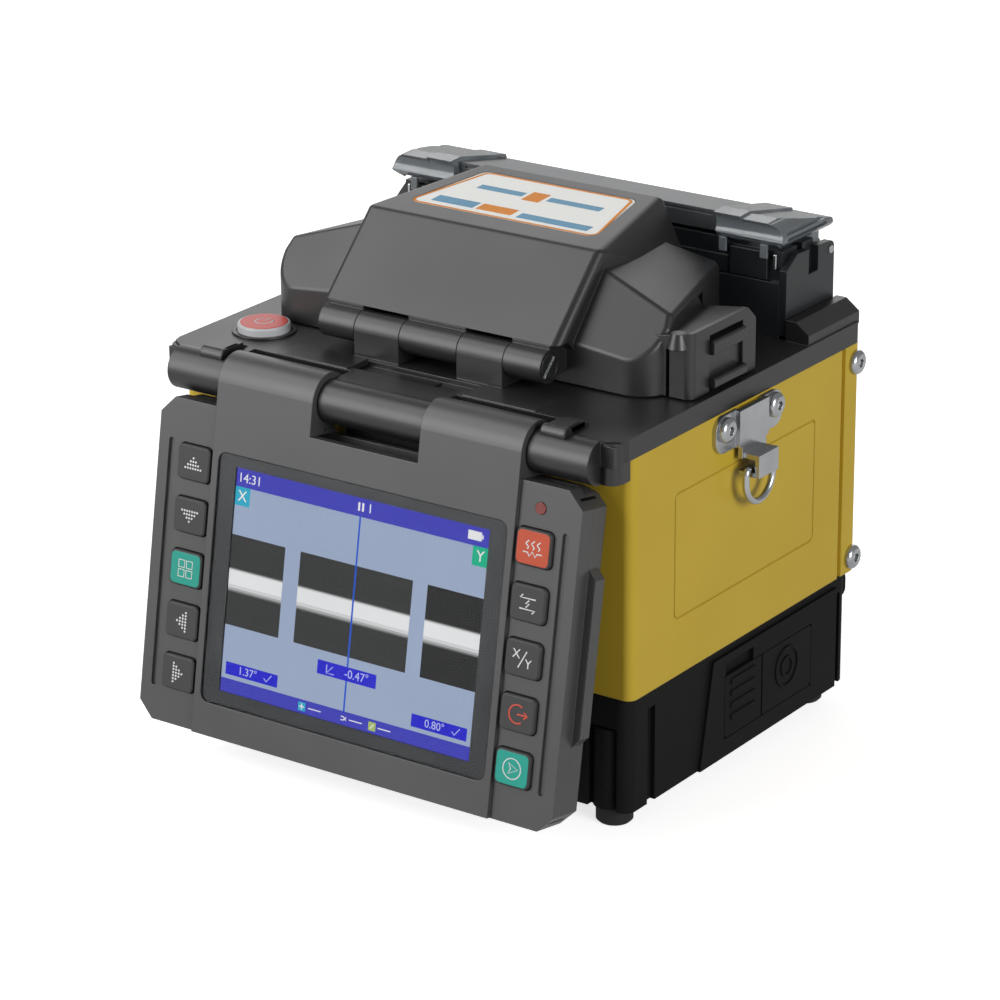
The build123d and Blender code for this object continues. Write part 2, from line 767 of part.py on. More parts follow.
def plane_cuts(point, directions, inset):
    """Cuts sloping planes through a point on the right and its mirror image, moved inwards by inset."""
    for direction in directions:
        for side in (-1, 1):
            corner = Vector(side * point.X, point.Y, point.Z)
            outward = Vector(side * direction.X, direction.Y, direction.Z)
            cutter = Plane(origin=corner - outward * inset, z_dir=outward)
            with Locations(cutter.offset(60)):
                Box(400, 400, 120, mode=Mode.SUBTRACT)


with BuildPart() as wing_hollow:
    with BuildSketch(Plane.XY.offset(skirt_z - 1)):
        with BuildLine():
            Polyline(
                (0, wing_root_y - cover_wall),
                (wing_root_half, wing_root_y - cover_wall),
                (wing_rear_half - 3.4, wing_rear_y - cover_wall - 0.4),
                (wing_rear_half - cover_wall - 0.3, wing_rear_y - cover_wall - 0.8),
                (wing_half - cover_wall, skirt_front_y + wing_corner),
            )
            RadiusArc(
                (wing_half - cover_wall, skirt_front_y + wing_corner),
                (wing_half - wing_corner, skirt_front_y + cover_wall),
                wing_corner - cover_wall,
            )
            Line(
                (wing_half - wing_corner, skirt_front_y + cover_wall), (0, skirt_front_y + cover_wall)
            )
            mirror(about=Plane.YZ)
        make_face()
    extrude(amount=34)
    plane_cuts(wing_a, (roof_out, slope_out), cover_wall)

# Hood: a sloping front plate and a nearly flat top whose sides draw in towards the rear.
with BuildPart() as hood_shape:
    with BuildSketch(Plane.YZ):
        with BuildLine():
            Polyline(
                (cover_hinge_y + 0.4, hood_lip_z),
                (ridge_y, ridge_z),
                (hood_rear_y, ridge_z + hood_top_rise),
                (hood_rear_y, skirt_z),
                (skirt_front_y, skirt_z),
                (skirt_front_y, hood_lip_z - 2.9),
                (cover_hinge_y + 5.5, hood_lip_z),
                close=True,
            )
        make_face()
    extrude(amount=hood_half, both=True)
    plane_cuts(hood_f, (taper_out,), 0)
    hood_edges = hood_shape.edges().filter_by(lambda e: e.center().Z > hood_lip_z + 5)
    fillet(hood_edges, hood_round)

with BuildPart() as hood_hollow:
    with BuildSketch(Plane.YZ):
        with BuildLine():
            Polyline(
                (skirt_front_y + cover_wall, skirt_z - 1),
                (skirt_front_y + cover_wall, skirt_z + 20.2),
                (ridge_y + 1.0, ridge_z - cover_wall),
                (hood_rear_y - cover_wall, ridge_z + hood_top_rise - cover_wall - 0.1),
                (hood_rear_y - cover_wall, skirt_z - 1),
                close=True,
            )
        make_face()
    extrude(amount=hood_half - cover_wall, both=True)
    plane_cuts(hood_f, (taper_out,), cover_wall)

with BuildPart() as wind_cover:
    with BuildSketch(Plane.XY.offset(skirt_z)):
        with BuildLine():
            Polyline(
                (0, wing_root_y),
                (wing_root_half, wing_root_y),
                (wing_rear_half - 2.6, wing_rear_y),
                (wing_rear_half, wing_rear_y - 0.9),
                (wing_half, skirt_front_y + wing_corner),
            )
            RadiusArc(
                (wing_half, skirt_front_y + wing_corner),
                (wing_half - wing_corner, skirt_front_y),
                wing_corner,
            )
            Line((wing_half - wing_corner, skirt_front_y), (0, skirt_front_y))
            mirror(about=Plane.YZ)
        make_face()
    extrude(amount=33)
    plane_cuts(wing_a, (roof_out, slope_out), 0)
    ridges = wind_cover.edges().filter_by(
        lambda e: abs(e.center().X) > hood_half + 4
        and e.center().Z > wing_front_z + 2
        and e.center().Y < wing_rear_y - 1
    )
    fillet(ridges, wing_round)
    # Latch housing on the right, with a valley that leads the fibre in and a cone at its front.
    with BuildSketch(Plane.XZ.offset(-latch_rear_y)):
        with BuildLine():
            Polyline(
                (wing_rear_half, skirt_z),
                (latch_face, skirt_z),
                (latch_face, latch_top_z),
                (latch_face - 1.5, latch_top_z),
                (wing_rear_half, latch_top_z - 4.6),
                close=True,
            )
        make_face()
    extrude(amount=latch_rear_y - latch_front_y)
    front_corner = wind_cover.edges().filter_by(Axis.Z).filter_by(
        lambda e: e.center().X > latch_face - 0.1 and e.center().Y < latch_front_y + 0.1
    )
    fillet(front_corner, 2.6)
    with BuildSketch(Plane.YZ.offset(wing_half - 12)):
        with BuildLine():
            Polyline(
                (latch_rear_y - 4.7, latch_top_z + 0.5),
                (latch_rear_y + 0.5, latch_top_z + 0.5),
                (latch_rear_y + 0.5, latch_top_z - 4.5),
                close=True,
            )
        make_face()
    extrude(amount=30, mode=Mode.SUBTRACT)
    block(
        (latch_inner - 0.2, latch_inner + 1.0),
        (latch_front_y - 1, latch_front_y + 2.4),
        (skirt_z - 1, latch_top_z - 5.6),
        Mode.SUBTRACT,
    )
    with Locations((latch_inner + 3.4, latch_front_y + 0.9, latch_top_z - 2.6)):
        Cone(3.4, 2.1, 4.4)
    add(hood_shape.part)
    # Hinge barrels and the arms that join them to the hood.
    cover_parts = (
        (-cover_barrel_end, -cover_post_out - 0.2),
        (-cover_post_in + 0.2, cover_post_in - 0.2),
        (cover_post_out + 0.2, cover_barrel_end),
    )
    for part_x in cover_parts:
        bar_x(part_x, cover_hinge_y, cover_hinge_z, cover_barrel_r)
        block(
            part_x, (cover_hinge_y, skirt_front_y + 1), (cover_hinge_z - 3.6, hood_lip_z)
        )
    # Hollows.
    add(hood_hollow.part, mode=Mode.SUBTRACT)
    add(wing_hollow.part, mode=Mode.SUBTRACT)
    bar_x(
        (-cover_barrel_end + 1, cover_barrel_end + 1),
        cover_hinge_y,
        cover_hinge_z,
        cover_pin_r + 0.03,
        Mode.SUBTRACT,
    )
    bar_x((cover_barrel_end - 1.4, cover_barrel_end + 1), cover_hinge_y, cover_hinge_z, 3.9, Mode.SUBTRACT)
    # Fibre notches, the latch pocket and its pivot hole.
    for side in (-1, 1):
        block(
            sided(side, wing_rear_half - 2.0, wing_rear_half + 8),
            (fibre_y - 2.6, fibre_y + 2.6),
            (skirt_z - 1, skirt_z + 6),
            Mode.SUBTRACT,
        )
    block(
        (latch_face - 3.2, latch_face + 1),
        (latch_front_y + 9.6, latch_rear_y - 7.0),
        (skirt_z - 1, latch_top_z - 2.8),
        Mode.SUBTRACT,
    )
    latch_mid_y = (latch_front_y + latch_rear_y + 2.6) / 2
    with Locations(Location((latch_face - 1.4, latch_mid_y, latch_top_z - 6.2), (90, 0, 0))):
        Cylinder(1.05, latch_rear_y - latch_front_y - 14.6, mode=Mode.SUBTRACT)
    # Recess for the label plate.
    label_y = (ridge_y + hood_rear_y) / 2 + 0.8
    label_slope = hood_top_rise / (hood_rear_y - ridge_y)
    label_z = ridge_z + (label_y - ridge_y) * label_slope
    label_plane = Plane(
        origin=(0, label_y, label_z), x_dir=(1, 0, 0), z_dir=(0, -label_slope, 1)
    )
    with BuildSketch(label_plane):
        label_outline = Polygon(*label_corners, align=None)
        fillet(label_outline.vertices(), 3.0)
        offset(amount=0.15)
    extrude(amount=-label_thickness, mode=Mode.SUBTRACT)
keep("wind_cover", wind_cover.part)

with BuildPart() as label_plate:
    with BuildSketch(label_plane.offset(-0.1)):
        label_outline = Polygon(*label_corners, align=None)
        fillet(label_outline.vertices(), 3.0)
    extrude(amount=-label_thickness + 0.1)
keep("label_plate", label_plate.part)

with BuildPart() as cover_pin:
    bar_x((-cover_barrel_end + 1.4, cover_barrel_end - 1.0), cover_hinge_y, cover_hinge_z, cover_pin_r)
    bar_x((cover_barrel_end - 1.3, cover_barrel_end - 0.1), cover_hinge_y, cover_hinge_z, 3.8)
    with Locations(Location((cover_barrel_end, cover_hinge_y, cover_hinge_z), (45, 0, 0))):
        Box(1.2, 8, 0.9, mode=Mode.SUBTRACT)
keep("cover_pin", cover_pin.part)

# Pads under the hood that hold the two fibres down on the groove block.
presser_x = 13.0
presser_y = (fibre_y - 3, fibre_y + 3)
ceiling_rise = (hood_top_rise - 0.1) / (hood_rear_y - cover_wall - ridge_y - 1.0)
presser_top = [ridge_z - cover_wall + (y - ridge_y - 1.0) * ceiling_rise for y in presser_y]
with BuildPart() as fibre_pressers:
    for side in (-1, 1):
        with BuildSketch(Plane.YZ.offset(side * presser_x)):
            with BuildLine():
                Polyline(
                    (presser_y[0], fibre_z + 4.5),
                    (presser_y[1], fibre_z + 4.5),
                    (presser_y[1], presser_top[1]),
                    (presser_y[0], presser_top[0]),
                    close=True,
                )
            make_face()
        extrude(amount=2, both=True)
        block(
            sided(side, presser_x - 1.2, presser_x + 1.2),
            (fibre_y - 1.2, fibre_y + 1.2),
            (fibre_z + 1.2, fibre_z + 4.5),
        )
keep("fibre_pressers", fibre_pressers.part)

# Snap latch in the cover's right side: a tab above, a window, and a rounded bar below.
latch_y = (latch_front_y + 9.9, latch_rear_y - 7.3)
latch_pivot_x = latch_face - 1.4
latch_pivot_z = latch_top_z - 6.2
with BuildPart() as cover_latch:
    block((latch_face - 2.4, latch_face - 1.0), latch_y, (deck_z + 1.6, latch_pivot_z))
    block(
        (latch_face - 2.4, latch_face + 1.4),
        latch_y,
        (latch_pivot_z - 2.4, latch_pivot_z + 1.9),
    )
    block((latch_face - 2.4, latch_face + 1.8), latch_y, (deck_z + 1.6, deck_z + 4.6))
    outer_edges = cover_latch.edges().filter_by(Axis.Y).filter_by(
        lambda e: e.center().X > latch_face + 1
    )
    fillet(outer_edges, 0.8)
    pivot_mid = (latch_y[0] + latch_y[1]) / 2
    with Locations(Location((latch_pivot_x, pivot_mid, latch_pivot_z), (90, 0, 0))):
        Cylinder(1.0, latch_y[1] - latch_y[0] + 2.4)
keep("cover_latch", cover_latch.part)

# ================================================================ splicing stage
platform_z = case_top_z
with BuildPart() as splice_platform:
    block(
        (-chamber_half - 3, chamber_half + 3),
        (chamber_front_y - 3, chamber_rear_y + 3),
        (platform_z - platform_thickness, platform_z),
    )
keep("splice_platform", splice_platform.part)

block_half = 9.0
lens_slot = 3.3
with BuildPart() as groove_block:
    block((-block_half, block_half), (fibre_y - 5.5, fibre_y + 5.5), (platform_z, fibre_z))
    block(
        (-lens_slot, lens_slot), (fibre_y - 6, fibre_y + 6), (platform_z + 2, fibre_z + 1), Mode.SUBTRACT
    )
    with Locations(Location((0, fibre_y, fibre_z), (45, 0, 0))):
        Box(2 * block_half + 1, 1.1, 1.1, mode=Mode.SUBTRACT)
keep("groove_block", groove_block.part)

with BuildPart() as objective_lenses:
    with BuildSketch(Plane.XY.offset(platform_z + 2)):
        with Locations((0, fibre_y - 3.1), (0, fibre_y + 3.1)):
            Circle(2.6)
    extrude(amount=2.4)
    fillet(objective_lenses.edges().group_by(Axis.Z)[-1], 0.6)
keep("objective_lenses", objective_lenses.part)

clamp_offset = 10.4
with BuildPart() as electrode_clamps:
    for end in (-1, 1):
        middle = fibre_y + end * clamp_offset
        block((-6, 6), (middle - 3.4, middle + 3.4), (platform_z, fibre_z - 0.9))
        block((-5, 5), (middle - 3, middle + 3), (fibre_z + 0.9, fibre_z + 2.4))
        with Locations((3.2, middle, fibre_z)):
            Cylinder(1.2, 1.8)
        with Locations((-3.2, middle, fibre_z)):
            Cylinder(1.2, 1.8)
keep("electrode_clamps", electrode_clamps.part)

with BuildPart() as electrodes:
    for end in (-1, 1):
        tip = fibre_y + end * 0.9
        tail = fibre_y + end * (clamp_offset + 3.3)
        with BuildSketch(Plane.YZ):
            with BuildLine():
                Polyline(
                    (tip, fibre_z),
                    (tip + end * 1.6, fibre_z + 0.85),
                    (tail, fibre_z + 0.85),
                    (tail, fibre_z),
                    close=True,
                )
            make_face()
        revolve(axis=Axis((0, 0, fibre_z), (0, 1, 0)))
keep("electrodes", electrodes.part)

carriage_h = 3.0
holder_low_y = fibre_y - 10.0
holder_high_y = fibre_y + 9.0
lid_pivot_y = fibre_y - 8.2
lid_pivot_z = fibre_z + 1.5
for name, side in (("left", -1), ("right", 1)):
    with BuildPart() as stage_carriage:
        block(
            sided(side, holder_inner - 3, holder_outer + 2),
            (fibre_y - 11, fibre_y + 11),
            (platform_z + seat_gap, platform_z + carriage_h),
        )
    keep(f"stage_carriage_{name}", stage_carriage.part)
    with BuildPart() as fibre_holder:
        block(
            sided(side, holder_inner, holder_outer),
            (holder_low_y + 4, holder_high_y),
            (platform_z + carriage_h, fibre_z),
        )
        block(
            sided(side, holder_inner, holder_inner + holder_ear),
            (holder_low_y - 1, holder_low_y + 4),
            (platform_z + carriage_h, fibre_z - 1.5),
        )
        block(
            sided(side, holder_outer - holder_ear, holder_outer),
            (holder_low_y - 1, holder_low_y + 4),
            (platform_z + carriage_h, fibre_z - 1.5),
        )
        for low in (holder_inner, holder_outer - holder_ear):
            bar_x(sided(side, low, low + holder_ear), lid_pivot_y, lid_pivot_z, 1.9)
            block(
                sided(side, low, low + holder_ear),
                (lid_pivot_y - 1.9, lid_pivot_y + 1.9),
                (fibre_z - 3, lid_pivot_z),
            )
        bar_x(sided(side, holder_inner - 1, holder_outer + 1), lid_pivot_y, lid_pivot_z, 0.85, Mode.SUBTRACT)
        with Locations(Location((side * (holder_inner + holder_outer) / 2, fibre_y, fibre_z), (45, 0, 0))):
            Box(holder_outer - holder_inner + 2, 0.9, 0.9, mode=Mode.SUBTRACT)
    keep(f"fibre_holder_{name}", fibre_holder.part)
    lid_x = sided(side, holder_inner + holder_ear + 0.3, holder_outer - holder_ear - 0.3)
    with BuildPart() as holder_lid:
        block(
            lid_x,
            (lid_pivot_y, fibre_y + 7.5),
            (fibre_z + 0.3, fibre_z + 3.2),
        )
        bar_x(lid_x, lid_pivot_y, lid_pivot_z, 1.7)
        bar_x(sided(side, holder_inner + 0.6, holder_outer - 0.6), lid_pivot_y, lid_pivot_z, 0.8)
    keep(f"holder_lid_{name}", holder_lid.part)

with BuildPart() as stage_motors:
    for side in (-1, 1):
        bar_x(sided(side, 22, 40), fibre_y, platform_z - platform_thickness - 6.5, 6.5)
        block(
            sided(side, 16, 22),
            (fibre_y - 6.5, fibre_y + 6.5),
            (platform_z - platform_thickness - 13, platform_z - platform_thickness),
        )
keep("stage_motors", stage_motors.part)

platform_low = platform_z - platform_thickness
with BuildPart() as camera_modules:
    for y in (fibre_y - 8, fibre_y + 8):
        block((-6, 6), (y - 5, y + 5), (platform_low - 16, platform_low))
keep("camera_modules", camera_modules.part)

# ================================================================ tube heater
heater_rear_y = half_d - heater_rear_inset
heater_front_y = heater_rear_y - heater_depth
heater_pin_y = heater_rear_y - 1.1
channel_y = (heater_front_y + 6.6, heater_front_y + 16.0)
with BuildPart() as heater_housing:
    block(
        (-heater_half, heater_half), (heater_front_y, heater_rear_y), (deck_z, heater_ledge_z)
    )
    block(
        (-heater_half, heater_half),
        (heater_front_y + 1.4, heater_rear_y),
        (heater_ledge_z - 1, heater_top_z),
    )
    block(
        (-clamp_inner + 0.8, clamp_inner - 0.8),
        (heater_front_y + 1.4, heater_rear_y - 1),
        (heater_top_z - 1, heater_crown_z),
    )
    block(
        (-heater_half - 1, heater_half + 1),
        (heater_rear_y - 7.4, heater_rear_y + 1),
        (heater_pin_z - 4.2, heater_crown_z + 1),
        Mode.SUBTRACT,
    )
    block(
        (-channel_half - seat_gap, channel_half + seat_gap),
        (channel_y[0] - seat_gap, channel_y[1] + seat_gap),
        (heater_top_z - 7.4, heater_crown_z + 1),
        Mode.SUBTRACT,
    )
    # Fibre slots at the two ends of the heating channel.
    block(
        (-heater_half - 1, heater_half + 1),
        (sum(channel_y) / 2 - 1.5, sum(channel_y) / 2 + 1.5),
        (heater_top_z - 3, heater_top_z + 1),
        Mode.SUBTRACT,
    )
    # Pedestals with bores, which carry the pin between the lid and the clamps.
    for side in (-1, 1):
        block(
            sided(side, 40, 47),
            (heater_pin_y - 3.0, heater_pin_y + heater_pin_r + 1.05),
            (heater_pin_z - 5, heater_pin_z + heater_pin_r + 1.05),
        )
    bar_x((-heater_half, heater_half), heater_pin_y, heater_pin_z, heater_pin_r + seat_gap, Mode.SUBTRACT)
keep("heater_housing", heater_housing.part)

groove_half = 2.4
with BuildPart() as heating_plate:
    block((-channel_half, channel_half), channel_y, (heater_top_z - 7.3, heater_top_z - 0.4))
    block(
        (-channel_half - 1, channel_half + 1),
        (sum(channel_y) / 2 - groove_half, sum(channel_y) / 2 + groove_half),
        (heater_top_z - 5.6, heater_top_z + 1),
        Mode.SUBTRACT,
    )
keep("heating_plate", heating_plate.part)

with BuildPart() as heater_ends:
    for side in (-1, 1):
        with BuildSketch(Plane.YZ.offset(side * (heater_half + 0.1))):
            with BuildLine():
                Polyline(
                    (heater_front_y, deck_z + 1.1),
                    (heater_rear_y + 0.9, deck_z + 1.1),
                    (heater_rear_y + 0.9, heater_pin_z + 2.6),
                    (heater_front_y + 6, heater_pin_z + 3.4),
                    (heater_front_y, heater_pin_z - 0.6),
                    close=True,
                )
            make_face()
        extrude(amount=side * end_plate)
    end_edges = heater_ends.edges().filter_by(Axis.X)
    top_corners = end_edges.filter_by(
        lambda e: e.center().Z > heater_pin_z and e.center().Y > heater_rear_y
    )
    fillet(top_corners, 2.4)
    block(
        (-half_w, half_w),
        (heater_front_y + 12.6, heater_front_y + 18),
        (heater_pin_z - 4.6, heater_pin_z + 9),
        Mode.SUBTRACT,
    )
    bar_x((-half_w, half_w), heater_pin_y, heater_pin_z, heater_pin_r + 0.03, Mode.SUBTRACT)
keep("heater_ends", heater_ends.part)

with BuildPart() as heater_pin:
    pin_end = heater_half + end_plate + 0.4
    bar_x((-pin_end, pin_end), heater_pin_y, heater_pin_z, heater_pin_r)
keep("heater_pin", heater_pin.part)

lug_r = 2.7
with BuildPart() as heater_lid:
    with BuildSketch(Plane.YZ):
        with BuildLine():
            Polyline(
                (heater_front_y + 0.2, deck_z + 35.8),
                (heater_rear_y + 0.3, deck_z + 30.6),
                (heater_rear_y + 1.0, deck_z + 28.8),
                (heater_rear_y - 1.0, deck_z + 28.0),
                (heater_front_y + 1.6, deck_z + 29.0),
                close=True,
            )
        make_face()
    extrude(amount=clamp_inner - 0.8, both=True)
    block(
        (-channel_half, channel_half),
        (heater_front_y - 1, heater_front_y + 1.1),
        (deck_z + 34.0, deck_z + 34.7),
        Mode.SUBTRACT,
    )
    for side in (-1, 1):
        bar_x(sided(side, 30, 39), heater_pin_y, heater_pin_z, lug_r)
        block(
            sided(side, 30, 39),
            (heater_pin_y - lug_r, heater_pin_y + 1.4),
            (heater_pin_z, deck_z + 28.5),
        )
    pin_bore_r = heater_pin_r + pin_clearance
    bar_x((-clamp_inner, clamp_inner), heater_pin_y, heater_pin_z, pin_bore_r, Mode.SUBTRACT)
keep("heater_lid", heater_lid.part)

for name, side in (("left", -1), ("right", 1)):
    with BuildPart() as heater_clamp:
        for low, high, drop in ((clamp_inner, clamp_step_x, 0), (clamp_step_x, clamp_outer, 0.6)):
            with BuildSketch(Plane.YZ.offset(side * low)):
                with BuildLine():
                    clamp_back = Polyline(
                        (heater_front_y - 3.6, deck_z + 36.6 - drop),
                        (heater_front_y + 2.0, deck_z + 36.9 - drop),
                        (heater_rear_y - 0.2, deck_z + 32.0 - drop),
                        (heater_rear_y + 1.2, deck_z + 28.4),
                        (heater_rear_y - 1.0, deck_z + 27.3),
                        (heater_front_y + 0.8, deck_z + 27.3),
                        (heater_front_y - 2.6, deck_z + 30.4),
                    )
                    ThreePointArc(
                        clamp_back @ 1, (heater_front_y - 1.7, deck_z + 33.6), clamp_back @ 0
                    )
                make_face()
            extrude(amount=side * (high - low))
        # The outer end is rounded down to a nose.
        with BuildSketch(Plane.XZ.offset(-heater_front_y + 10)):
            with BuildLine():
                nose_in = Polyline(
                    (side * (clamp_outer - 6.1), deck_z + 27.2),
                    (side * (clamp_inner - 1), deck_z + 27.2),
                    (side * (clamp_inner - 1), deck_z + 40),
                    (side * (clamp_outer - 5.4), deck_z + 40),
                    (side * (clamp_outer - 4.3), deck_z + 35.7),
                )
                ThreePointArc(
                    nose_in @ 1,
                    (side * (clamp_outer - 1.0), deck_z + 33.4),
                    (side * clamp_outer, deck_z + 30.0),
                )
                ThreePointArc(
                    (side * clamp_outer, deck_z + 30.0),
                    (side * (clamp_outer - 2.0), deck_z + 28.0),
                    nose_in @ 0,
                )
            make_face()
        extrude(amount=-60, mode=Mode.INTERSECT)
        # Two slots along the outer end.
        for low_z in (deck_z + 30.1, deck_z + 31.9):
            block(
                sided(side, clamp_outer - 1.5, clamp_outer + 1),
                (heater_front_y + 0.8, heater_rear_y - 3.5),
                (low_z, low_z + 1.0),
                Mode.SUBTRACT,
            )
        block(
            sided(side, clamp_inner - 1, clamp_outer - 2.6),
            (heater_front_y - 0.6, heater_rear_y - 2.4),
            (deck_z + 26, deck_z + 31.6),
            Mode.SUBTRACT,
        )
        bar_x(sided(side, 51, 66), heater_pin_y, heater_pin_z, lug_r)
        block(
            sided(side, 51, 66),
            (heater_pin_y - lug_r, heater_pin_y + 1.4),
            (heater_pin_z, deck_z + 31.0),
        )
        bar_x(
            sided(side, clamp_inner - 1, clamp_outer + 1),
            heater_pin_y,
            heater_pin_z,
            heater_pin_r + pin_clearance,
            Mode.SUBTRACT,
        )
    keep(f"heater_clamp_{name}", heater_clamp.part)

# ================================================================ strap brackets and D-rings
ear_z = (bracket_screw_z - 7.0, case_top_z - 0.3)
tab_half = 6.4
tab_out = half_w + 3.2
hook_out = half_w + 8.2
hook_half = 5.3
shelf_z = bracket_screw_z - 9.2
lip_z = shelf_z - 6.9
lip_plate = 1.3
ring_bar_z = lip_z + lip_plate + ring_wire / 2 + 0.15
ring_x = half_w + 5.0
ring_arm_z = ring_bar_z - 3.9
with BuildPart() as strap_brackets:
    for side in (-1, 1):
        for end in (-1, 1):
            ear_y = sorted((bracket_y + end * (tab_half + 0.1), bracket_y + end * 18.2))
            block(sided(side, half_w, half_w + bracket_plate), ear_y, ear_z)
    ear_edges = strap_brackets.edges().filter_by(Axis.X)
    outer_ears = ear_edges.filter_by(lambda e: abs(e.center().Y - bracket_y) > 17)
    fillet(outer_ears, 4.6)
    for side in (-1, 1):
        for end in (-1, 1):
            step_y = sorted((bracket_y + end * tab_half, bracket_y + end * (tab_half + 1.5)))
            block(sided(side, half_w, tab_out), step_y, ear_z)
        block(
            sided(side, tab_out - bracket_plate, tab_out),
            (bracket_y - tab_half - 0.1, bracket_y + tab_half + 0.1),
            (shelf_z - bracket_plate, ear_z[1]),
        )
        block(
            sided(side, tab_out - bracket_plate, hook_out),
            (bracket_y - hook_half, bracket_y + hook_half),
            (shelf_z - bracket_plate, shelf_z),
        )
        block(
            sided(side, hook_out - bracket_plate, hook_out),
            (bracket_y - hook_half, bracket_y + hook_half),
            (lip_z, shelf_z),
        )
        block(
            sided(side, half_w + 1.2, hook_out),
            (bracket_y - hook_half, bracket_y + hook_half),
            (lip_z, lip_z + lip_plate),
        )
    with BuildSketch(Plane.YZ.offset(-half_w - 4)):
        with Locations(*[(y, bracket_screw_z) for y in bracket_screws_y]):
            Circle(screw_shank_r + pin_clearance)
    extrude(amount=case_width + 8, mode=Mode.SUBTRACT)
keep("strap_brackets", strap_brackets.part)

for name, side in (("left", -1), ("right", 1)):
    ring_plane = Plane(origin=(side * ring_x, bracket_y, 0), x_dir=(0, 1, 0), z_dir=(1, 0, 0))
    with BuildPart() as d_ring:
        with BuildLine(ring_plane) as ring_path:
            top = FilletPolyline(
                (-ring_half, ring_arm_z),
                (-ring_half, ring_bar_z),
                (ring_half, ring_bar_z),
                (ring_half, ring_arm_z),
                radius=1.7,
            )
            ThreePointArc(top @ 1, (0, ring_arm_z - ring_half), top @ 0)
        with BuildSketch(Plane(origin=top @ 0, z_dir=top % 0)):
            Circle(ring_wire / 2)
        sweep()
    keep(f"d_ring_{name}", d_ring.part)

# ================================================================ screws
screw_seats = [(half_w + bracket_plate, y, bracket_screw_z) for y in bracket_screws_y]
screw_seats += [(half_w, rear_screw_y, z) for z in rear_screw_z]
with BuildPart() as case_screws:
    for side in (-1, 1):
        for seat_x, y, z in screw_seats:
            tip_x = half_w - screw_reach
            bar_x(sided(side, tip_x, seat_x), y, z, screw_shank_r)
            bar_x(sided(side, seat_x, seat_x + screw_head_h), y, z, screw_head_r)
    head_rims = case_screws.edges().filter_by(GeomType.CIRCLE)
    outer_rims = head_rims.filter_by(
        lambda e: e.radius > 3
        and min(abs(abs(e.center().X) - seat[0] - screw_head_h) for seat in screw_seats) < 0.01
    )
    fillet(outer_rims, 1.6)
    for side in (-1, 1):
        for seat_x, y, z in screw_seats:
            with BuildSketch(Plane.YZ.offset(side * (seat_x + screw_head_h))):
                with Locations((y, z)):
                    RegularPolygon(hex_socket / 2, 6, major_radius=False)
            extrude(amount=-side * 1.3, mode=Mode.SUBTRACT)
keep("case_screws", case_screws.part)

# ================================================================ place and write
boxes = [piece.bounding_box() for piece in pieces.values()]
front_most = min(box.min.Y for box in boxes)
rear_most = max(box.max.Y for box in boxes)
set_back = -(front_most + rear_most) / 2
for node, piece in pieces.items():
    placed = piece.moved(Location((0, set_back, 0)))
    placed.label = node
    export_step(placed, f"parts/{node}.step")
print(f"{len(pieces)} pieces, set back {set_back:.6f} mm")
print(f"monitor hinge at Y {hinge_y + set_back:.4f}, Z {hinge_z:.4f}")
print(f"wind cover hinge at Y {cover_hinge_y + set_back:.4f}, Z {cover_hinge_z:.4f}")
print(f"heater pin at Y {heater_pin_y + set_back:.4f}, Z {heater_pin_z:.4f}")
print(f"latch pivots at X {latch_pivot_x:.4f}, Z {latch_pivot_z:.4f}")
print(f"ring bars at X {ring_x:.4f}, Z {ring_bar_z:.4f}")
print(f"holder lid pivots at Y {lid_pivot_y + set_back:.4f}, Z {lid_pivot_z:.4f}")
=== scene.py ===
"""Looks of a fibre fusion splicer: finishes, printed marks, the display's picture and fine mouldings."""

import math

import bmesh
import bpy
from mathutils import Matrix, Vector


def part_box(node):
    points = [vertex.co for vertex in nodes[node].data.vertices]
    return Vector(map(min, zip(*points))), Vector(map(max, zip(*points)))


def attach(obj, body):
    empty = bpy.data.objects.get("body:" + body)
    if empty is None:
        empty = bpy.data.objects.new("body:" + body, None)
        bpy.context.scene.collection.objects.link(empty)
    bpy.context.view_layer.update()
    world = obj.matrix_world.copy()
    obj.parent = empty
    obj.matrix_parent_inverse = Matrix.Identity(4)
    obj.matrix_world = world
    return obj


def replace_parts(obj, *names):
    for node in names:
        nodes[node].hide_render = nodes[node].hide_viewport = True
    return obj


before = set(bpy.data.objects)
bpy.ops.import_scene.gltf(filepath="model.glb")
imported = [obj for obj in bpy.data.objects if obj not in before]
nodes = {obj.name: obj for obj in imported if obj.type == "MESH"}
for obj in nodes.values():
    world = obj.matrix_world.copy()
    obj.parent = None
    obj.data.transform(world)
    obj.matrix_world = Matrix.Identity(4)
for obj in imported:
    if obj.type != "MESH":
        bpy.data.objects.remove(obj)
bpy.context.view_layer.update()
MM = 0.001

# ---------------------------------------------------------------- where things are
# In millimetres, y backwards and z up from the feet, in the case's own frame. set_back takes y to the packed
# frame.
deck_rear = 63.8
deck_top = 122.2
hinge_back = -68.9
hinge_height = 115.9
knuckle_r = 8.4
monitor_tilt = math.radians(9.77)
set_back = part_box("top_deck")[1].y - deck_rear * MM
deck_z = deck_top * MM
hinge_y = hinge_back * MM + set_back
hinge_z = hinge_height * MM


# ---------------------------------------------------------------- finishes
def linear(hex_colour):
    """An sRGB hex colour as linear red, green, blue and alpha."""
    channels = [int(hex_colour[i : i + 2], 16) / 255 for i in (1, 3, 5)]
    return [c / 12.92 if c <= 0.04045 else ((c + 0.055) / 1.055) ** 2.4 for c in channels] + [1.0]


def add(tree, kind, values=None, links=None, **settings):
    """Adds a node to a material's tree, with its settings, socket values and links."""
    new = tree.nodes.new("ShaderNode" + kind)
    for key, value in settings.items():
        setattr(new, key, value)
    for socket, value in (values or {}).items():
        new.inputs[socket].default_value = value
    for socket, source in (links or {}).items():
        tree.links.new(source, new.inputs[socket])
    return new


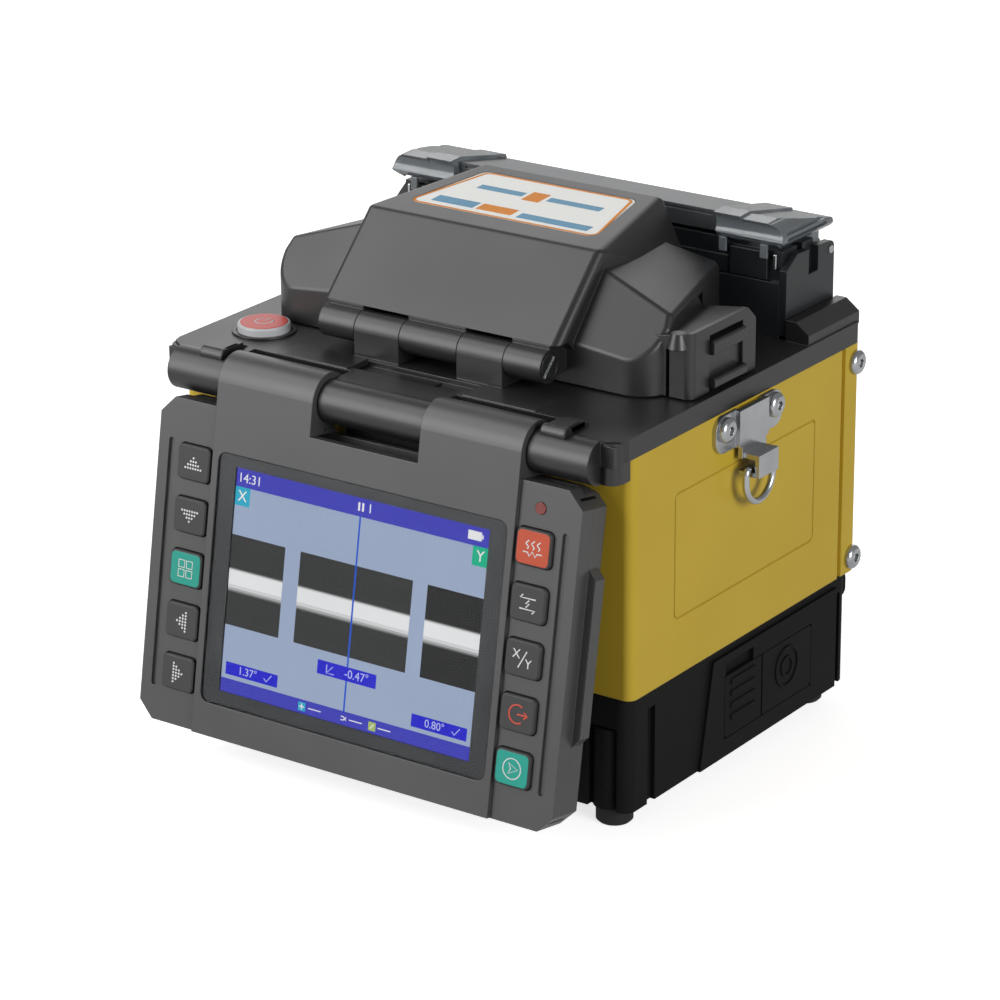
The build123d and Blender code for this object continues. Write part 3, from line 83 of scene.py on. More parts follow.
def finish_of(name, surface):
    """A new material with one Principled surface, its Object coordinates and its shader."""
    material = bpy.data.materials.new(name)
    material.use_nodes = True
    tree = material.node_tree
    tree.nodes.clear()
    place = add(tree, "TexCoord").outputs["Object"]
    shader = add(tree, "BsdfPrincipled", surface)
    add(tree, "OutputMaterial", links={"Surface": shader.outputs["BSDF"]})
    return material, tree, place, shader


def grain(tree, place, size_mm, detail=2.0, rough=0.5):
    """A noise pattern whose spots are about size_mm across."""
    return add(
        tree,
        "TexNoise",
        {"Scale": 1 / (size_mm * MM), "Detail": detail, "Roughness": rough},
        {"Vector": place},
    ).outputs["Fac"]


def spread(tree, source, low, high, start=0.3, end=0.7):
    """Maps a pattern's range start to end onto low to high."""
    return add(
        tree,
        "MapRange",
        {"From Min": start, "From Max": end, "To Min": low, "To Max": high},
        {"Value": source},
    ).outputs["Result"]


def bump(tree, height, depth_mm, strength=1.0, under=None):
    """A relief of depth_mm from a 0 to 1 height pattern."""
    links = {"Height": height}
    if under is not None:
        links["Normal"] = under
    return add(
        tree, "Bump", {"Strength": strength, "Distance": depth_mm * MM}, links
    ).outputs["Normal"]


def tint(tree, pattern, dark, light):
    """A colour that drifts between two close shades with a pattern."""
    # On a Mix node, 6 and 7 are the two colours that go in, and 2 is the one that comes out.
    shades = {6: linear(dark), 7: linear(light)}
    return add(tree, "Mix", shades, {"Factor": pattern}, data_type="RGBA").outputs[2]


def broken_edge(tree, radius_mm):
    """The normal of a surface whose sharp edges are broken to a small radius."""
    return add(tree, "Bevel", {"Radius": radius_mm * MM}, samples=6).outputs["Normal"]


def dress(tree, shader, colour, roughness, normal):
    """Gives a shader its colour, its roughness and its relief."""
    tree.links.new(colour, shader.inputs["Base Color"])
    tree.links.new(roughness, shader.inputs["Roughness"])
    tree.links.new(normal, shader.inputs["Normal"])


def fine_skin(name, shades, rough, pits, surface, edge_mm=0.3):
    """A smooth skin with small pits, as a spark-eroded tool leaves, and slow drifts in shade and sheen.

    The shades and the roughness are each a low and a high, and the pits a width and a depth in millimetres.
    """
    material, tree, place, shader = finish_of(name, surface)
    pit_width, pit_depth = pits
    flow = grain(tree, place, size_mm=30)
    skin = grain(tree, place, pit_width, detail=3.0, rough=0.6)
    rounded = broken_edge(tree, edge_mm) if edge_mm else None
    dress(
        tree,
        shader,
        tint(tree, spread(tree, flow, 0, 1), *shades),
        spread(tree, flow, *rough),
        bump(tree, skin, pit_depth, under=rounded),
    )
    return material


# ABS/PC blend, injection moulded in a spark-eroded tool: near black with a soft grey sheen and pits of a few
# tenths of a millimetre.
abs_blend = {"IOR": 1.53, "Specular IOR Level": 0.58}
abs_black = fine_skin("moulded_abs_black", ("#1c1c1d", "#212122"), (0.35, 0.41), (0.45, 0.012), abs_blend)
# The same blend on the monitor, with a finer skin that scatters more light.
abs_bezel = fine_skin("moulded_abs_fine_black", ("#3b3b3c", "#414142"), (0.37, 0.42), (0.3, 0.006), abs_blend)
# Glass-filled nylon base: a coarse leather-like tool texture that scatters nearly all light.
nylon = {"IOR": 1.53, "Specular IOR Level": 0.12}
nylon_base = fine_skin("moulded_nylon_textured", ("#0f0f0f", "#151515"), (0.6, 0.74), (0.9, 0.07), nylon)
# Acetal of the heater's housing: dark, with a waxy sheen.
acetal = {"IOR": 1.48}
acetal_dark = fine_skin("moulded_acetal_dark", ("#1b1d20", "#202225"), (0.34, 0.42), (0.35, 0.006), acetal)
# Plain ABS of the button's skirt, the heater's lid and the button's face: an even colour with a soft sheen.
abs_plain = {"IOR": 1.53}
abs_light = fine_skin("moulded_abs_light_grey", ("#b4b6b8", "#bcbec0"), (0.35, 0.42), (0.4, 0.006), abs_plain)
abs_grey = fine_skin("moulded_abs_grey", ("#4d5053", "#54575a"), (0.36, 0.43), (0.4, 0.006), abs_plain)
abs_red = fine_skin("moulded_abs_red", ("#bf3a30", "#c84236"), (0.38, 0.45), (0.3, 0.004), abs_plain)
# Silicone keys: a dry matt skin with a soft sheen.
silicone = {"IOR": 1.43}
key_black = fine_skin("moulded_key_black", ("#343435", "#3a3a3b"), (0.48, 0.55), (0.25, 0.004), silicone)
key_teal = fine_skin("moulded_key_teal", ("#189887", "#1ea08f"), (0.44, 0.5), (0.25, 0.004), silicone)
key_orange = fine_skin("moulded_key_orange", ("#bb4a2c", "#c35133"), (0.44, 0.5), (0.25, 0.004), silicone)
# Moulded rubber: nearly no sheen.
rubber = {"IOR": 1.52}
rubber_black = fine_skin("moulded_rubber_black", ("#151515", "#191919"), (0.75, 0.85), (0.6, 0.02), rubber)
# Zirconia ceramic V-groove block, ground: white, dense and slightly glossy.
zirconia = {"IOR": 2.1}
ceramic = fine_skin("ground_zirconia_ceramic", ("#d9d8d2", "#e0dfd9"), (0.22, 0.3), (0.3, 0.002), zirconia)
# Glass-fibre circuit board under green solder mask: glossy, with the weave just showing.
resin = {"IOR": 1.5}
solder_mask = fine_skin("solder_mask_green", ("#12502c", "#165a33"), (0.3, 0.4), (0.8, 0.01), resin)
# Heat-shrunk sleeve of the battery: a glossy skin with shallow waves.
shrink_sleeve = fine_skin("shrink_sleeve_black", ("#1d1f24", "#22252a"), (0.28, 0.36), (2.0, 0.02), resin)
# Polyester label film with a matt laminate.
label_film = fine_skin("printed_label_white", ("#e6e6e2", "#ecece8"), (0.32, 0.4), (0.8, 0.003), resin)
# Smoky polycarbonate of the heater clamps: light comes through it, and its skin is polished.
smoky = {"IOR": 1.585, "Transmission Weight": 0.55}
smoky_pc = fine_skin("moulded_polycarbonate_smoky", ("#8b9297", "#949ba0"), (0.12, 0.18), (1.5, 0.003), smoky)
# Black ink on the back of the display's window: flat and even.
window_black = fine_skin(
    "printed_window_black", ("#2c2c2e", "#303032"), (0.3, 0.33), (8, 0.0001), resin, edge_mm=0
)
# Chemically strengthened cover glass with an anti-reflection coating, which lowers its effective index.
coated = {"IOR": 1.12, "Transmission Weight": 1.0}
cover_glass = fine_skin(
    "strengthened_cover_glass", ("#f2f4f5", "#f6f8f9"), (0.02, 0.04), (20, 0.0001), coated, edge_mm=0
)
# Clear red acrylic of the status lamp, polished.
acrylic = {"IOR": 1.49, "Transmission Weight": 0.3}
lamp_lens = fine_skin("moulded_acrylic_red", ("#8d3a35", "#96413b"), (0.2, 0.28), (0.6, 0.002), acrylic)


def sprayed_paint(name, shades, rough):
    """Sprayed enamel on sheet steel: an even colour under orange peel of about 1.5 mm, with a little dust."""
    satin = {"IOR": 1.5, "Specular IOR Level": 0.35, "Coat Weight": 0.06, "Coat Roughness": 0.2}
    material, tree, place, shader = finish_of(name, satin)
    drift = grain(tree, place, size_mm=40)
    peel = grain(tree, place, size_mm=1.5, detail=1.0)
    dust = grain(tree, place, size_mm=0.35, detail=1.0)
    dusty = bump(tree, dust, depth_mm=0.003, under=broken_edge(tree, radius_mm=0.5))
    dress(
        tree,
        shader,
        tint(tree, spread(tree, drift, 0, 1), *shades),
        spread(tree, dust, *rough),
        bump(tree, peel, depth_mm=0.010, under=dusty),
    )
    return material


# Yellow satin enamel on the folded sheet case.
enamel_yellow = sprayed_paint("sprayed_enamel_yellow", ("#c9aa31", "#cfb038"), (0.42, 0.5))


def worked_metal(name, shades, rough, mark_mm):
    """Bare metal with the fine marks that tumbling or machining leaves."""
    material, tree, place, shader = finish_of(name, {"Metallic": 1.0})
    cloud = grain(tree, place, size_mm=9)
    marks = grain(tree, place, mark_mm)
    dress(
        tree,
        shader,
        tint(tree, spread(tree, cloud, 0, 1), *shades),
        spread(tree, marks, *rough),
        bump(tree, marks, depth_mm=0.0012, under=broken_edge(tree, radius_mm=0.25)),
    )
    return material


# A2 stainless steel, tumbled after forming: bright grey with a soft, slightly streaked reflection.
stainless = worked_metal("tumbled_stainless_steel", ("#b2b4b6", "#bec0c2"), (0.22, 0.27), 1.2)
# Aluminium with a satin anodised skin, on the parts inside.
anodised = worked_metal("anodised_aluminium", ("#8d8f92", "#9a9c9f"), (0.34, 0.46), 0.4)
# Ground tungsten electrodes: darker than steel, with fine grinding marks.
tungsten = worked_metal("ground_tungsten", ("#8a8a8c", "#97979a"), (0.3, 0.4), 0.2)
# Zinc-plated steel of the drives: bright, with a slight cloud.
zinc_steel = worked_metal("zinc_plated_steel", ("#a3a5a6", "#b1b3b4"), (0.3, 0.42), 0.6)


def printed(name, colour, surface):
    """Ink printed on a moulding or a film: one even, matt colour."""
    material, _, _, shader = finish_of(name, surface)
    shader.inputs["Base Color"].default_value = linear(colour)
    return material


# Pad-printed ink of the keys' symbols.
pad_ink = {"Roughness": 0.5, "IOR": 1.5}
print_white = printed("pad_printed_white", "#dedede", pad_ink)
print_red = printed("pad_printed_red", "#c94a35", pad_ink)
# Screen-printed ink of the hood's label, under its matt laminate.
print_orange = printed("screen_printed_orange", "#dd8618", {**pad_ink, "Specular IOR Level": 0.2})
print_blue = printed("screen_printed_blue", "#1f7fa6", {"Roughness": 0.4, "IOR": 1.5})


def lit(name, colour):
    """A colour of the lit liquid crystal display: light from the panel itself, under a matt polariser."""
    polariser = {"Roughness": 0.6, "Specular IOR Level": 0.05, "Emission Strength": 1.0}
    material, _, _, shader = finish_of(name, polariser)
    shader.inputs["Base Color"].default_value = linear("#050505")
    shader.inputs["Emission Color"].default_value = linear(colour)
    return material


finishes = {
    abs_black: "top_deck wind_cover cover_latch dc_socket power_collar",
    abs_bezel: "monitor_front monitor_back",
    acetal_dark: "heater_housing heater_ends",
    nylon_base: "base_tray base_covers",
    enamel_yellow: "case_shell rear_panel",
    rubber_black: "feet",
    key_black: "key_up key_down key_left key_right key_arc key_axis key_reset key_menu key_start key_heat",
    abs_light: "power_button",
    cover_glass: "screen_glass objective_lenses",
    lamp_lens: "status_lamp",
    window_black: "display_module",
    label_film: "label_plate",
    solder_mask: "main_board keypad_boards",
    stainless: "case_screws strap_brackets d_ring_left d_ring_right cover_pin monitor_hinge_pin heater_pin "
    "usb_socket",
    anodised: "chassis splice_platform stage_carriage_left stage_carriage_right fibre_holder_left "
    "fibre_holder_right holder_lid_left holder_lid_right heating_plate electrode_clamps camera_modules",
    ceramic: "groove_block",
    tungsten: "electrodes",
    zinc_steel: "stage_motors",
    shrink_sleeve: "battery_pack",
    smoky_pc: "heater_clamp_left heater_clamp_right",
    abs_grey: "heater_lid fibre_pressers",
}
for finish, names in finishes.items():
    for name in names.split():
        nodes[name].data.materials.clear()
        nodes[name].data.materials.append(finish)


# ---------------------------------------------------------------- tools for new pieces
def place_on(origin, across, along):
    """The frame of a face: x across it, y along it, z out of it, in millimetres."""
    x, y = Vector(across).normalized(), Vector(along).normalized()
    z = x.cross(y)
    rows = [(x[i] * MM, y[i] * MM, z[i] * MM, origin[i]) for i in range(3)]
    return Matrix((*rows, (0, 0, 0, 1)))


def flat_made(curve, thickness):
    """A curve or text as a closed mesh, its height set to a thickness in millimetres."""
    holder = bpy.data.objects.new("outline", curve)
    bpy.context.collection.objects.link(holder)
    bpy.context.view_layer.update()
    seen = holder.evaluated_get(bpy.context.evaluated_depsgraph_get())
    mesh = bpy.data.meshes.new_from_object(seen)
    bpy.data.objects.remove(holder)
    height = max(v.co.z for v in mesh.vertices) - min(v.co.z for v in mesh.vertices)
    mesh.transform(Matrix.Diagonal((1, 1, thickness / height, 1)))
    return mesh


def edges_at(verts):
    """The edges at some vertices, each once and always in the same order."""
    return list(dict.fromkeys(edge for vert in verts for edge in vert.link_edges))


# The share of a font's size that its digits stand high.
digit_share = 0.69


class Piece:
    """One finished object, put together from plates, rounds, bars, strokes and numerals."""

    def __init__(self, name, face, finishes):
        self.name, self.face, self.finishes = name, face, finishes
        self.shape = bmesh.new()

    def paint(self, before, index):
        """Gives one of the piece's finishes to the faces that weren't there before."""
        for face in self.shape.faces:
            if face not in before:
                face.material_index = index

    def plate(self, x, y, z, index=0, corner=0.0, edge=0.0):
        """A plate given by its low and high x, y and z, with round corners or with all its edges broken."""
        before = set(self.shape.faces)
        middle = [(a + b) / 2 for a, b in (x, y, z)]
        size = [b - a for a, b in (x, y, z)]
        matrix = self.face @ Matrix.Translation(middle) @ Matrix.Diagonal((*size, 1))
        made = bmesh.ops.create_cube(self.shape, size=1, matrix=matrix)["verts"]
        out = (self.face.to_3x3() @ Vector((0, 0, 1))).normalized()
        edges = edges_at(made)
        if corner:
            runs = [(e.verts[1].co - e.verts[0].co).normalized() for e in edges]
            edges = [e for e, run in zip(edges, runs) if abs(run.dot(out)) > 0.9]
        if corner or edge:
            bmesh.ops.bevel(
                self.shape,
                geom=edges,
                offset=(corner or edge) * MM,
                segments=6 if corner else 3,
                affect="EDGES",
                profile=0.5,
                material=-1,
            )
        self.paint(before, index)

    def round(self, x, y, z, radius, index=0, top=None, segments=48):
        """A round, from low to high z, that may narrow to another radius at the top."""
        before = set(self.shape.faces)
        matrix = self.face @ Matrix.Translation((x, y, (z[0] + z[1]) / 2))
        bmesh.ops.create_cone(
            self.shape,
            cap_ends=True,
            segments=segments,
            radius1=radius,
            radius2=radius if top is None else top,
            depth=z[1] - z[0],
            matrix=matrix,
        )
        self.paint(before, index)

    def bar(self, x, y, z, radius, index=0):
        """A round bar along the face, from low to high x, with broken rims."""
        before = set(self.shape.faces)
        middle = Matrix.Translation(((x[0] + x[1]) / 2, y, z))
        made = bmesh.ops.create_cone(
            self.shape,
            cap_ends=True,
            segments=40,
            radius1=radius,
            radius2=radius,
            depth=x[1] - x[0],
            matrix=self.face @ middle @ Matrix.Rotation(math.pi / 2, 4, "Y"),
        )["verts"]
        rims = [e for e in edges_at(made) if any(len(f.verts) > 4 for f in e.link_faces)]
        bmesh.ops.bevel(
            self.shape, geom=rims, offset=0.35 * MM, segments=3, affect="EDGES", profile=0.5, material=-1
        )
        self.paint(before, index)

    def laid(self, mesh, x, y, z, index):
        """Lays a mesh on the face and takes it into the piece."""
        before = set(self.shape.faces)
        mesh.transform(self.face @ Matrix.Translation((x, y, z)))
        self.shape.from_mesh(mesh)
        bpy.data.meshes.remove(mesh)
        self.paint(before, index)

    def stroke(self, lines, width, z, index=0, closed=False, thickness=0.04):
        """Lines through points in millimetres, flattened to a thickness."""
        curve = bpy.data.curves.new("stroke", "CURVE")
        curve.dimensions = "3D"
        curve.bevel_depth = width / 2
        curve.bevel_resolution = 1
        curve.use_fill_caps = True
        for points in lines:
            line = curve.splines.new("POLY")
            line.points.add(len(points) - 1)
            for point, (x, y) in zip(line.points, points):
                point.co = (x, y, 0, 1)
            line.use_cyclic_u = closed
        self.laid(flat_made(curve, thickness), 0, 0, z, index)

    def numerals(self, words, x, y, height, z, index=0, thickness=0.04):
        """Numerals or a letter, centred on x and y, of that digit height."""
        text = bpy.data.curves.new("numerals", "FONT")
        text.body = words
        text.size = height / digit_share
        text.align_x, text.align_y = "CENTER", "CENTER"
        text.extrude = 0.02
        text.resolution_u = 4
        self.laid(flat_made(text, thickness), x, y, z, index)

    def done(self, body):
        """Turns the piece into an object that rides on a body."""
        bmesh.ops.recalc_face_normals(self.shape, faces=self.shape.faces)
        mesh = bpy.data.meshes.new(self.name)
        self.shape.to_mesh(mesh)
        self.shape.free()
        for finish in self.finishes:
            mesh.materials.append(finish)
        obj = bpy.data.objects.new(self.name, mesh)
        bpy.context.collection.objects.link(obj)
        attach(obj, body)
        return obj


def ring_points(x, y, radius, start=0, end=360, steps=28):
    """Points on a circle, in millimetres, from one angle to another."""
    angles = [math.radians(start + (end - start) * i / steps) for i in range(steps + 1)]
    return [(x + radius * math.cos(a), y + radius * math.sin(a)) for a in angles]


# ---------------------------------------------------------------- monitor
panel = place_on(
    (
        0,
        hinge_y - knuckle_r * MM * math.cos(monitor_tilt),
        hinge_z + knuckle_r * MM * math.sin(monitor_tilt),
    ),
    (1, 0, 0),
    (0, math.sin(monitor_tilt), math.cos(monitor_tilt)),
)
# The glass, by its top edge, half width, height and corners, and the picture, by its half width and the drops
# of its top and bottom from the top of the glass.
glass_top, glass_half, glass_height, glass_corner = -20.4, 51.5, 75.8, 2.9
view_half, view_top, view_bottom = 45.3, 3.6, 71.5
# The drops where the picture's upper bar ends and its lower bar starts.
upper_bar, lower_bar = 9.3, 67.3

glass = Piece("cover_glass_sheet", panel, [cover_glass])
glass.plate(
    (-glass_half, glass_half), (glass_top - glass_height, glass_top), (-0.75, -0.2), corner=glass_corner
)
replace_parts(glass.done("monitor"), "screen_glass")

gasket = Piece("glass_gasket", panel, [rubber_black])
# The middles of the rim's rounded corners.
rim_x, rim_high, rim_low = 48.7, glass_top - 2.8, glass_top - 73.0
rim = []
for side, y, start in ((1, rim_high, 0), (-1, rim_high, 90), (-1, rim_low, 180), (1, rim_low, 270)):
    rim += ring_points(side * rim_x, y, glass_corner, start, start + 90, 6)
gasket.stroke([rim], 0.45, -0.16, closed=True, thickness=0.1)
gasket.done("monitor")

mask = Piece("display_mask", panel, [window_black])
mask_half = glass_half - 0.1
for x, drop in (
    ((-mask_half, mask_half), (0.1, view_top)),
    ((-mask_half, mask_half), (view_bottom, glass_height - 0.1)),
    ((-mask_half, -view_half), (view_top, view_bottom)),
    ((view_half, mask_half), (view_top, view_bottom)),
):
    mask.plate(x, (glass_top - drop[1], glass_top - drop[0]), (-1.05, -0.8))
mask.done("monitor")

# The picture: two magnified fibre ends between their blurred sides, a centre line, tags, readings and bars.
display_colours = {
    "field": "#9dabc4",
    "blue": "#4444b4",
    "box": "#2c2cc8",
    "line": "#2f5ac8",
    "cyan": "#35a9c4",
    "green": "#22b088",
    "lime": "#a8bc6a",
    "dark": "#3c3c3c",
    "white": "#e8e8e8",
    "band": "#e6e6e6",
    "edge": "#d2d2d2",
    "mark": "#b8bce8",
    "fringe": "#6e6e6e",
    "side": "#a9a9a9",
    "shade": "#303030",
}
colour_index = {name: index for index, name in enumerate(display_colours)}
display_lights = [lit("lit_display_" + name, colour) for name, colour in display_colours.items()]
picture = Piece("display_picture", panel, display_lights)
# The picture is built in layers, each a little nearer to the glass.
layer_base, layer_step, layer_height = -1.48, 0.03, 0.02


def shown(x, drop, layer, colour):
    """A patch of the picture, its drops counted down from the top of the glass."""
    base = layer_base + layer_step * layer
    down = (glass_top - drop[1], glass_top - drop[0])
    picture.plate(x, down, (base, base + layer_height), colour_index[colour])


shown((-view_half, view_half), (view_top, view_bottom), 0, "field")
shown((-view_half, view_half), (view_top, upper_bar), 1, "blue")
shown((-view_half, view_half), (lower_bar, view_bottom), 1, "blue")
shown((-view_half, -39.9), (upper_bar, 14.9), 1, "cyan")
shown((39.7, view_half), (upper_bar, 14.9), 1, "green")
# A fibre's outer fringe, side, edge and bright core, each drawn over the one before.
band_steps = ((33.8, 41.0, "fringe"), (34.1, 40.5, "side"), (34.3, 39.8, "edge"), (34.6, 38.8, "band"))
for low, high, dark in ((-view_half, -25.6, "dark"), (-20.0, 20.3, "dark"), (25.5, view_half, "shade")):
    shown((low, high), (23.8, 51.1), 1, dark)
    for step, (top, bottom, colour) in enumerate(band_steps):
        shown((low, high), (top, bottom), 2 + 0.2 * step, colour)
shown((-0.2, 0.4), (upper_bar, lower_bar), 3, "line")
for x, drop in (((-43.8, -24.5), (62.2, 66.0)), ((-10.6, 10.6), (54.0, 58.2)), ((24.0, 43.5), (62.2, 66.0))):
    shown(x, drop, 4, "box")
# The battery sign and its nub, and the two squares in the lower bar.
shown((37.7, 42.4), (5.1, 7.7), 4, "white")
shown((42.5, 43.0), (5.8, 7.0), 4, "white")
for x, colour in ((-15.0, "cyan"), (10.5, "lime")):
    shown((x - 1.3, x + 1.3), (68.1, 70.7), 4, colour)

# The writing's layer, and the heights of its rows on the panel.
writing = layer_base + layer_step * 6
reading_y, angle_y, footer_y = glass_top - 64.1, glass_top - 56.1, glass_top - 69.4
white, mark = colour_index["white"], colour_index["mark"]
for words, x, y, height, index in (
    ("14:31", -40.3, glass_top - 6.6, 2.7, white),
    ("X", -42.6, glass_top - 12.1, 3.2, white),
    ("Y", 42.5, glass_top - 12.1, 3.2, white),
    ("1", 3.4, glass_top - 6.4, 2.7, white),
    ("1.37\u00b0", -35.6, reading_y, 2.3, mark),
    ("-0.47\u00b0", 3.6, angle_y, 2.5, mark),
    ("0.80\u00b0", 32.2, reading_y, 2.3, mark),
):
    picture.numerals(words, x, y, height, writing, index)
# The pause sign's two bars.
for x in (-0.9, 0.5):
    picture.plate((x, x + 0.7), (glass_top - 7.6, glass_top - 5.1), (writing, writing + layer_height), white)


def raised(points, y):
    """The same points, moved up by y."""
    return [(px, y + py) for px, py in points]


ticks = [raised([(x, -0.1), (x + 0.9, -1.0), (x + 2.7, 1.2)], reading_y) for x in (-29.5, 38.3)]
angle_sign = [(-7.2, 1.2), (-7.2, -1.3)], [(-4.4, -1.3), (-7.2, -1.3), (-5.0, 0.9)]
picture.stroke(ticks + [raised(line, angle_y) for line in angle_sign], 0.3, writing, mark)
# A plus, crossed arrows and a slash in the lower bar, each with a blank line after it.
footer = [[(-15.9, 0), (-14.1, 0)], [(-15, -0.9), (-15, 0.9)], [(9.9, -0.7), (11.1, 0.7)]]
footer += [[(-0.7, 0.5), (0.2, 0.5), (1.2, -0.5)], [(-0.7, -0.5), (0.2, -0.5), (1.2, 0.5)]]
footer += [[(x, 0), (x + 4.6, 0)] for x in (-12.6, 12.6, 2.3)]
picture.stroke([raised(line, footer_y) for line in footer], 0.32, writing, white)
picture.done("monitor")

# ---------------------------------------------------------------- keys
# The keys stand 1.3 mm out of the panel's sunken wings, five in each, 16 mm apart.
wing_z, key_out, key_step, first_key = -1.2, 1.3, 16.0, -26.0
mark_z = wing_z + key_out + 0.01
names_left = ("key_up", "key_down", "key_menu", "key_left", "key_right")
names_right = ("key_heat", "key_arc", "key_axis", "key_reset", "key_start")
key_y = {}
for column in (names_left, names_right):
    for i, name in enumerate(column):
        key_y[name] = first_key - key_step * i


def key_place(name):
    """The middle of a key's top, in millimetres on the panel."""
    low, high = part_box(name)
    middle = panel.inverted() @ ((low + high) / 2)
    return (middle.x, key_y[name])


def faced(name, finish):
    """A coloured face let into the top of a key, its sides left black."""
    x, y = key_place(name)
    cap = Piece(name + "_face", panel, [finish])
    cap.plate((x - 5.4, x + 5.4), (y - 4.8, y + 4.8), (mark_z - 0.5, mark_z), corner=1.5)
    cap.done(name)


faced("key_menu", key_teal)
faced("key_start", key_teal)
faced("key_heat", key_orange)


def dotted(name, turn):
    """A triangle of sixteen dots, its point turned by quarter turns from upwards."""
    x, y = key_place(name)
    symbol = Piece(name + "_symbol", panel, [print_white])
    for row in range(4):
        for i in range(2 * row + 1):
            spot = Vector((0.95 * (i - row), 1.6 - 1.05 * row))
            for _ in range(turn):
                spot = Vector((-spot.y, spot.x))
            symbol.round(x + spot.x, y + spot.y, (mark_z, mark_z + 0.04), 0.34, segments=12)
    symbol.done(name)


for name, turn in (("key_up", 0), ("key_left", 1), ("key_down", 2), ("key_right", 3)):
    dotted(name, turn)


def lined(name, lines, width, finish=print_white, closed=False):
    """A symbol of printed lines about the middle of a key."""
    x, y = key_place(name)
    symbol = Piece(name + "_symbol", panel, [finish])
    placed = [[(x + px, y + py) for px, py in line] for line in lines]
    symbol.stroke(placed, width, mark_z + 0.02, closed=closed)
    symbol.done(name)


def square(x, y, half):
    """The corners of a square."""
    return [(x - half, y - half), (x + half, y - half), (x + half, y + half), (x - half, y + half)]


# Four squares for the menu.
squares = [square(x, y, 1.1) for x in (-1.45, 1.45) for y in (-1.45, 1.45)]
lined("key_menu", squares, 0.35, closed=True)
# Three rising waves over a wire for the heater.
heat = [[(x + 0.5 * math.sin(t * 1.1), -0.4 + 0.36 * t) for t in range(8)] for x in (-1.9, 0, 1.9)]
heat.append([(-3.2, -1.4), (-1.6, -1.4), (-1.0, -2.5), (0, -1.0), (1.0, -2.5), (1.6, -1.4), (3.2, -1.4)])
lined("key_heat", heat, 0.4)
# A spark between two facing arrows for the arc.
arc = [[(0.5, 1.1), (-0.7, 0.0), (0.6, 0.1), (-0.5, -1.1)]]
arc += [[(-1.7, 2.5), (-2.6, 1.6), (2.6, 1.6)], [(1.7, -2.5), (2.6, -1.6), (-2.6, -1.6)]]
lined("key_arc", arc, 0.48)
# X over Y for the view's axis.
x, y = key_place("key_axis")
axis_mark = Piece("key_axis_symbol", panel, [print_white])
axis_mark.numerals("X", x - 2.1, y + 1.2, 2.6, mark_z)
axis_mark.numerals("Y", x + 2.1, y - 1.2, 2.6, mark_z)
axis_mark.stroke([[(x - 1.2, y - 2.6), (x + 1.4, y + 2.5)]], 0.4, mark_z + 0.02)
axis_mark.done("key_axis")
# An open ring with an arrow out of it for the reset, and an arrowhead in a ring for the start.
reset = [ring_points(0, 0, 2.7, 55, 305), [(0, 0), (3.3, 0)], [(2.3, 1.0), (3.5, 0), (2.3, -1.0)]]
lined("key_reset", reset, 0.55, print_red)
start = [ring_points(0, 0, 3.0, 0, 348, 30), [(-1.2, 1.6), (2.0, 0), (-1.2, -1.6), (-0.4, 0)]]
lined("key_start", start, 0.36, closed=True)

# ---------------------------------------------------------------- power button
deck_face = place_on((0, set_back, deck_z), (1, 0, 0), (0, 1, 0))
button_low, button_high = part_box("power_button")
button_x = (button_low.x + button_high.x) / 2 / MM
button_y = ((button_low.y + button_high.y) / 2 - set_back) / MM
button_top = (button_high.z - deck_z) / MM
button_r = (button_high.x - button_low.x) / 2 / MM
cap = Piece("power_cap", deck_face, [abs_red, abs_light])
cap_z = (button_top - 0.4, button_top + 0.12)
cap.round(button_x, button_y, cap_z, button_r - 0.7, top=button_r - 0.9, segments=64)
broken_ring = ring_points(button_x, button_y, 2.6, 125, 415)
upright = [(button_x, button_y + 0.4), (button_x, button_y + 3.1)]
for line in (broken_ring, upright):
    cap.stroke([line], 0.55, button_top + 0.14, 1)
cap.done("power_button")

# ---------------------------------------------------------------- label on the hood
# The hood's roof rises to the rear, and the label lies on its middle.
roof_depth, roof_rise = 48.3, 3.3
label_back = 0.8
label_y = 4.55 + label_back
label_z = 36.4 + roof_rise * (24.15 + label_back) / roof_depth
label_face = place_on(
    (0, label_y * MM + set_back, deck_z + label_z * MM),
    (1, 0, 0),
    Vector((0, roof_depth, roof_rise)).normalized(),
)


def trapezium(front, rear, low, high, corner):
    """A closed outline with rounded corners, wider in front."""
    points = []
    for x, y, start in ((front, low, 270), (rear, high, 0), (-rear, high, 90), (-front, low, 180)):
        cx = x - corner if x > 0 else x + corner
        cy = y + corner if y < 0 else y - corner
        points += ring_points(cx, cy, corner, start, start + 90, 6)
    return points


border = Piece("label_border", label_face, [print_orange])
border.stroke([trapezium(32.7, 26.7, -15.3, 15.3, 2.6)], 1.0, -0.07, closed=True)
border.done("wind_cover")
# Blank bands, where such a label carries its maker's words.
bands = Piece("label_bands", label_face, [print_blue, print_orange])
for x, y, index in (
    ((3.5, 28.5), (-12.9, -9.1), 0),
    ((-27.5, -12.5), (-12.4, -7.6), 0),
    ((-11.3, 1.2), (-12.4, -7.6), 1),
    ((-21.5, -5.2), (2.6, 5.8), 0),
    ((3.6, 22.5), (2.6, 5.8), 0),
    ((-3.8, 2.2), (0.4, 7.6), 1),
):
    bands.plate(x, y, (-0.09, -0.05), index)
bands.done("wind_cover")

# ---------------------------------------------------------------- mouldings on the deck
# The raised boards beside the tray in front of the cover, and the grip pad in the tray.
boards = Piece("deck_boards", deck_face, [abs_black])
for x in ((-46.0, -20.4), (20.4, 46.0)):
    boards.plate(x, (-59.0, -48.4), (-1.5, 0.35), edge=0.3)
boards.plate((-12.4, 7.4), (-56.0, -50.2), (-1.55, -1.1), edge=0.15)
boards.done("case")

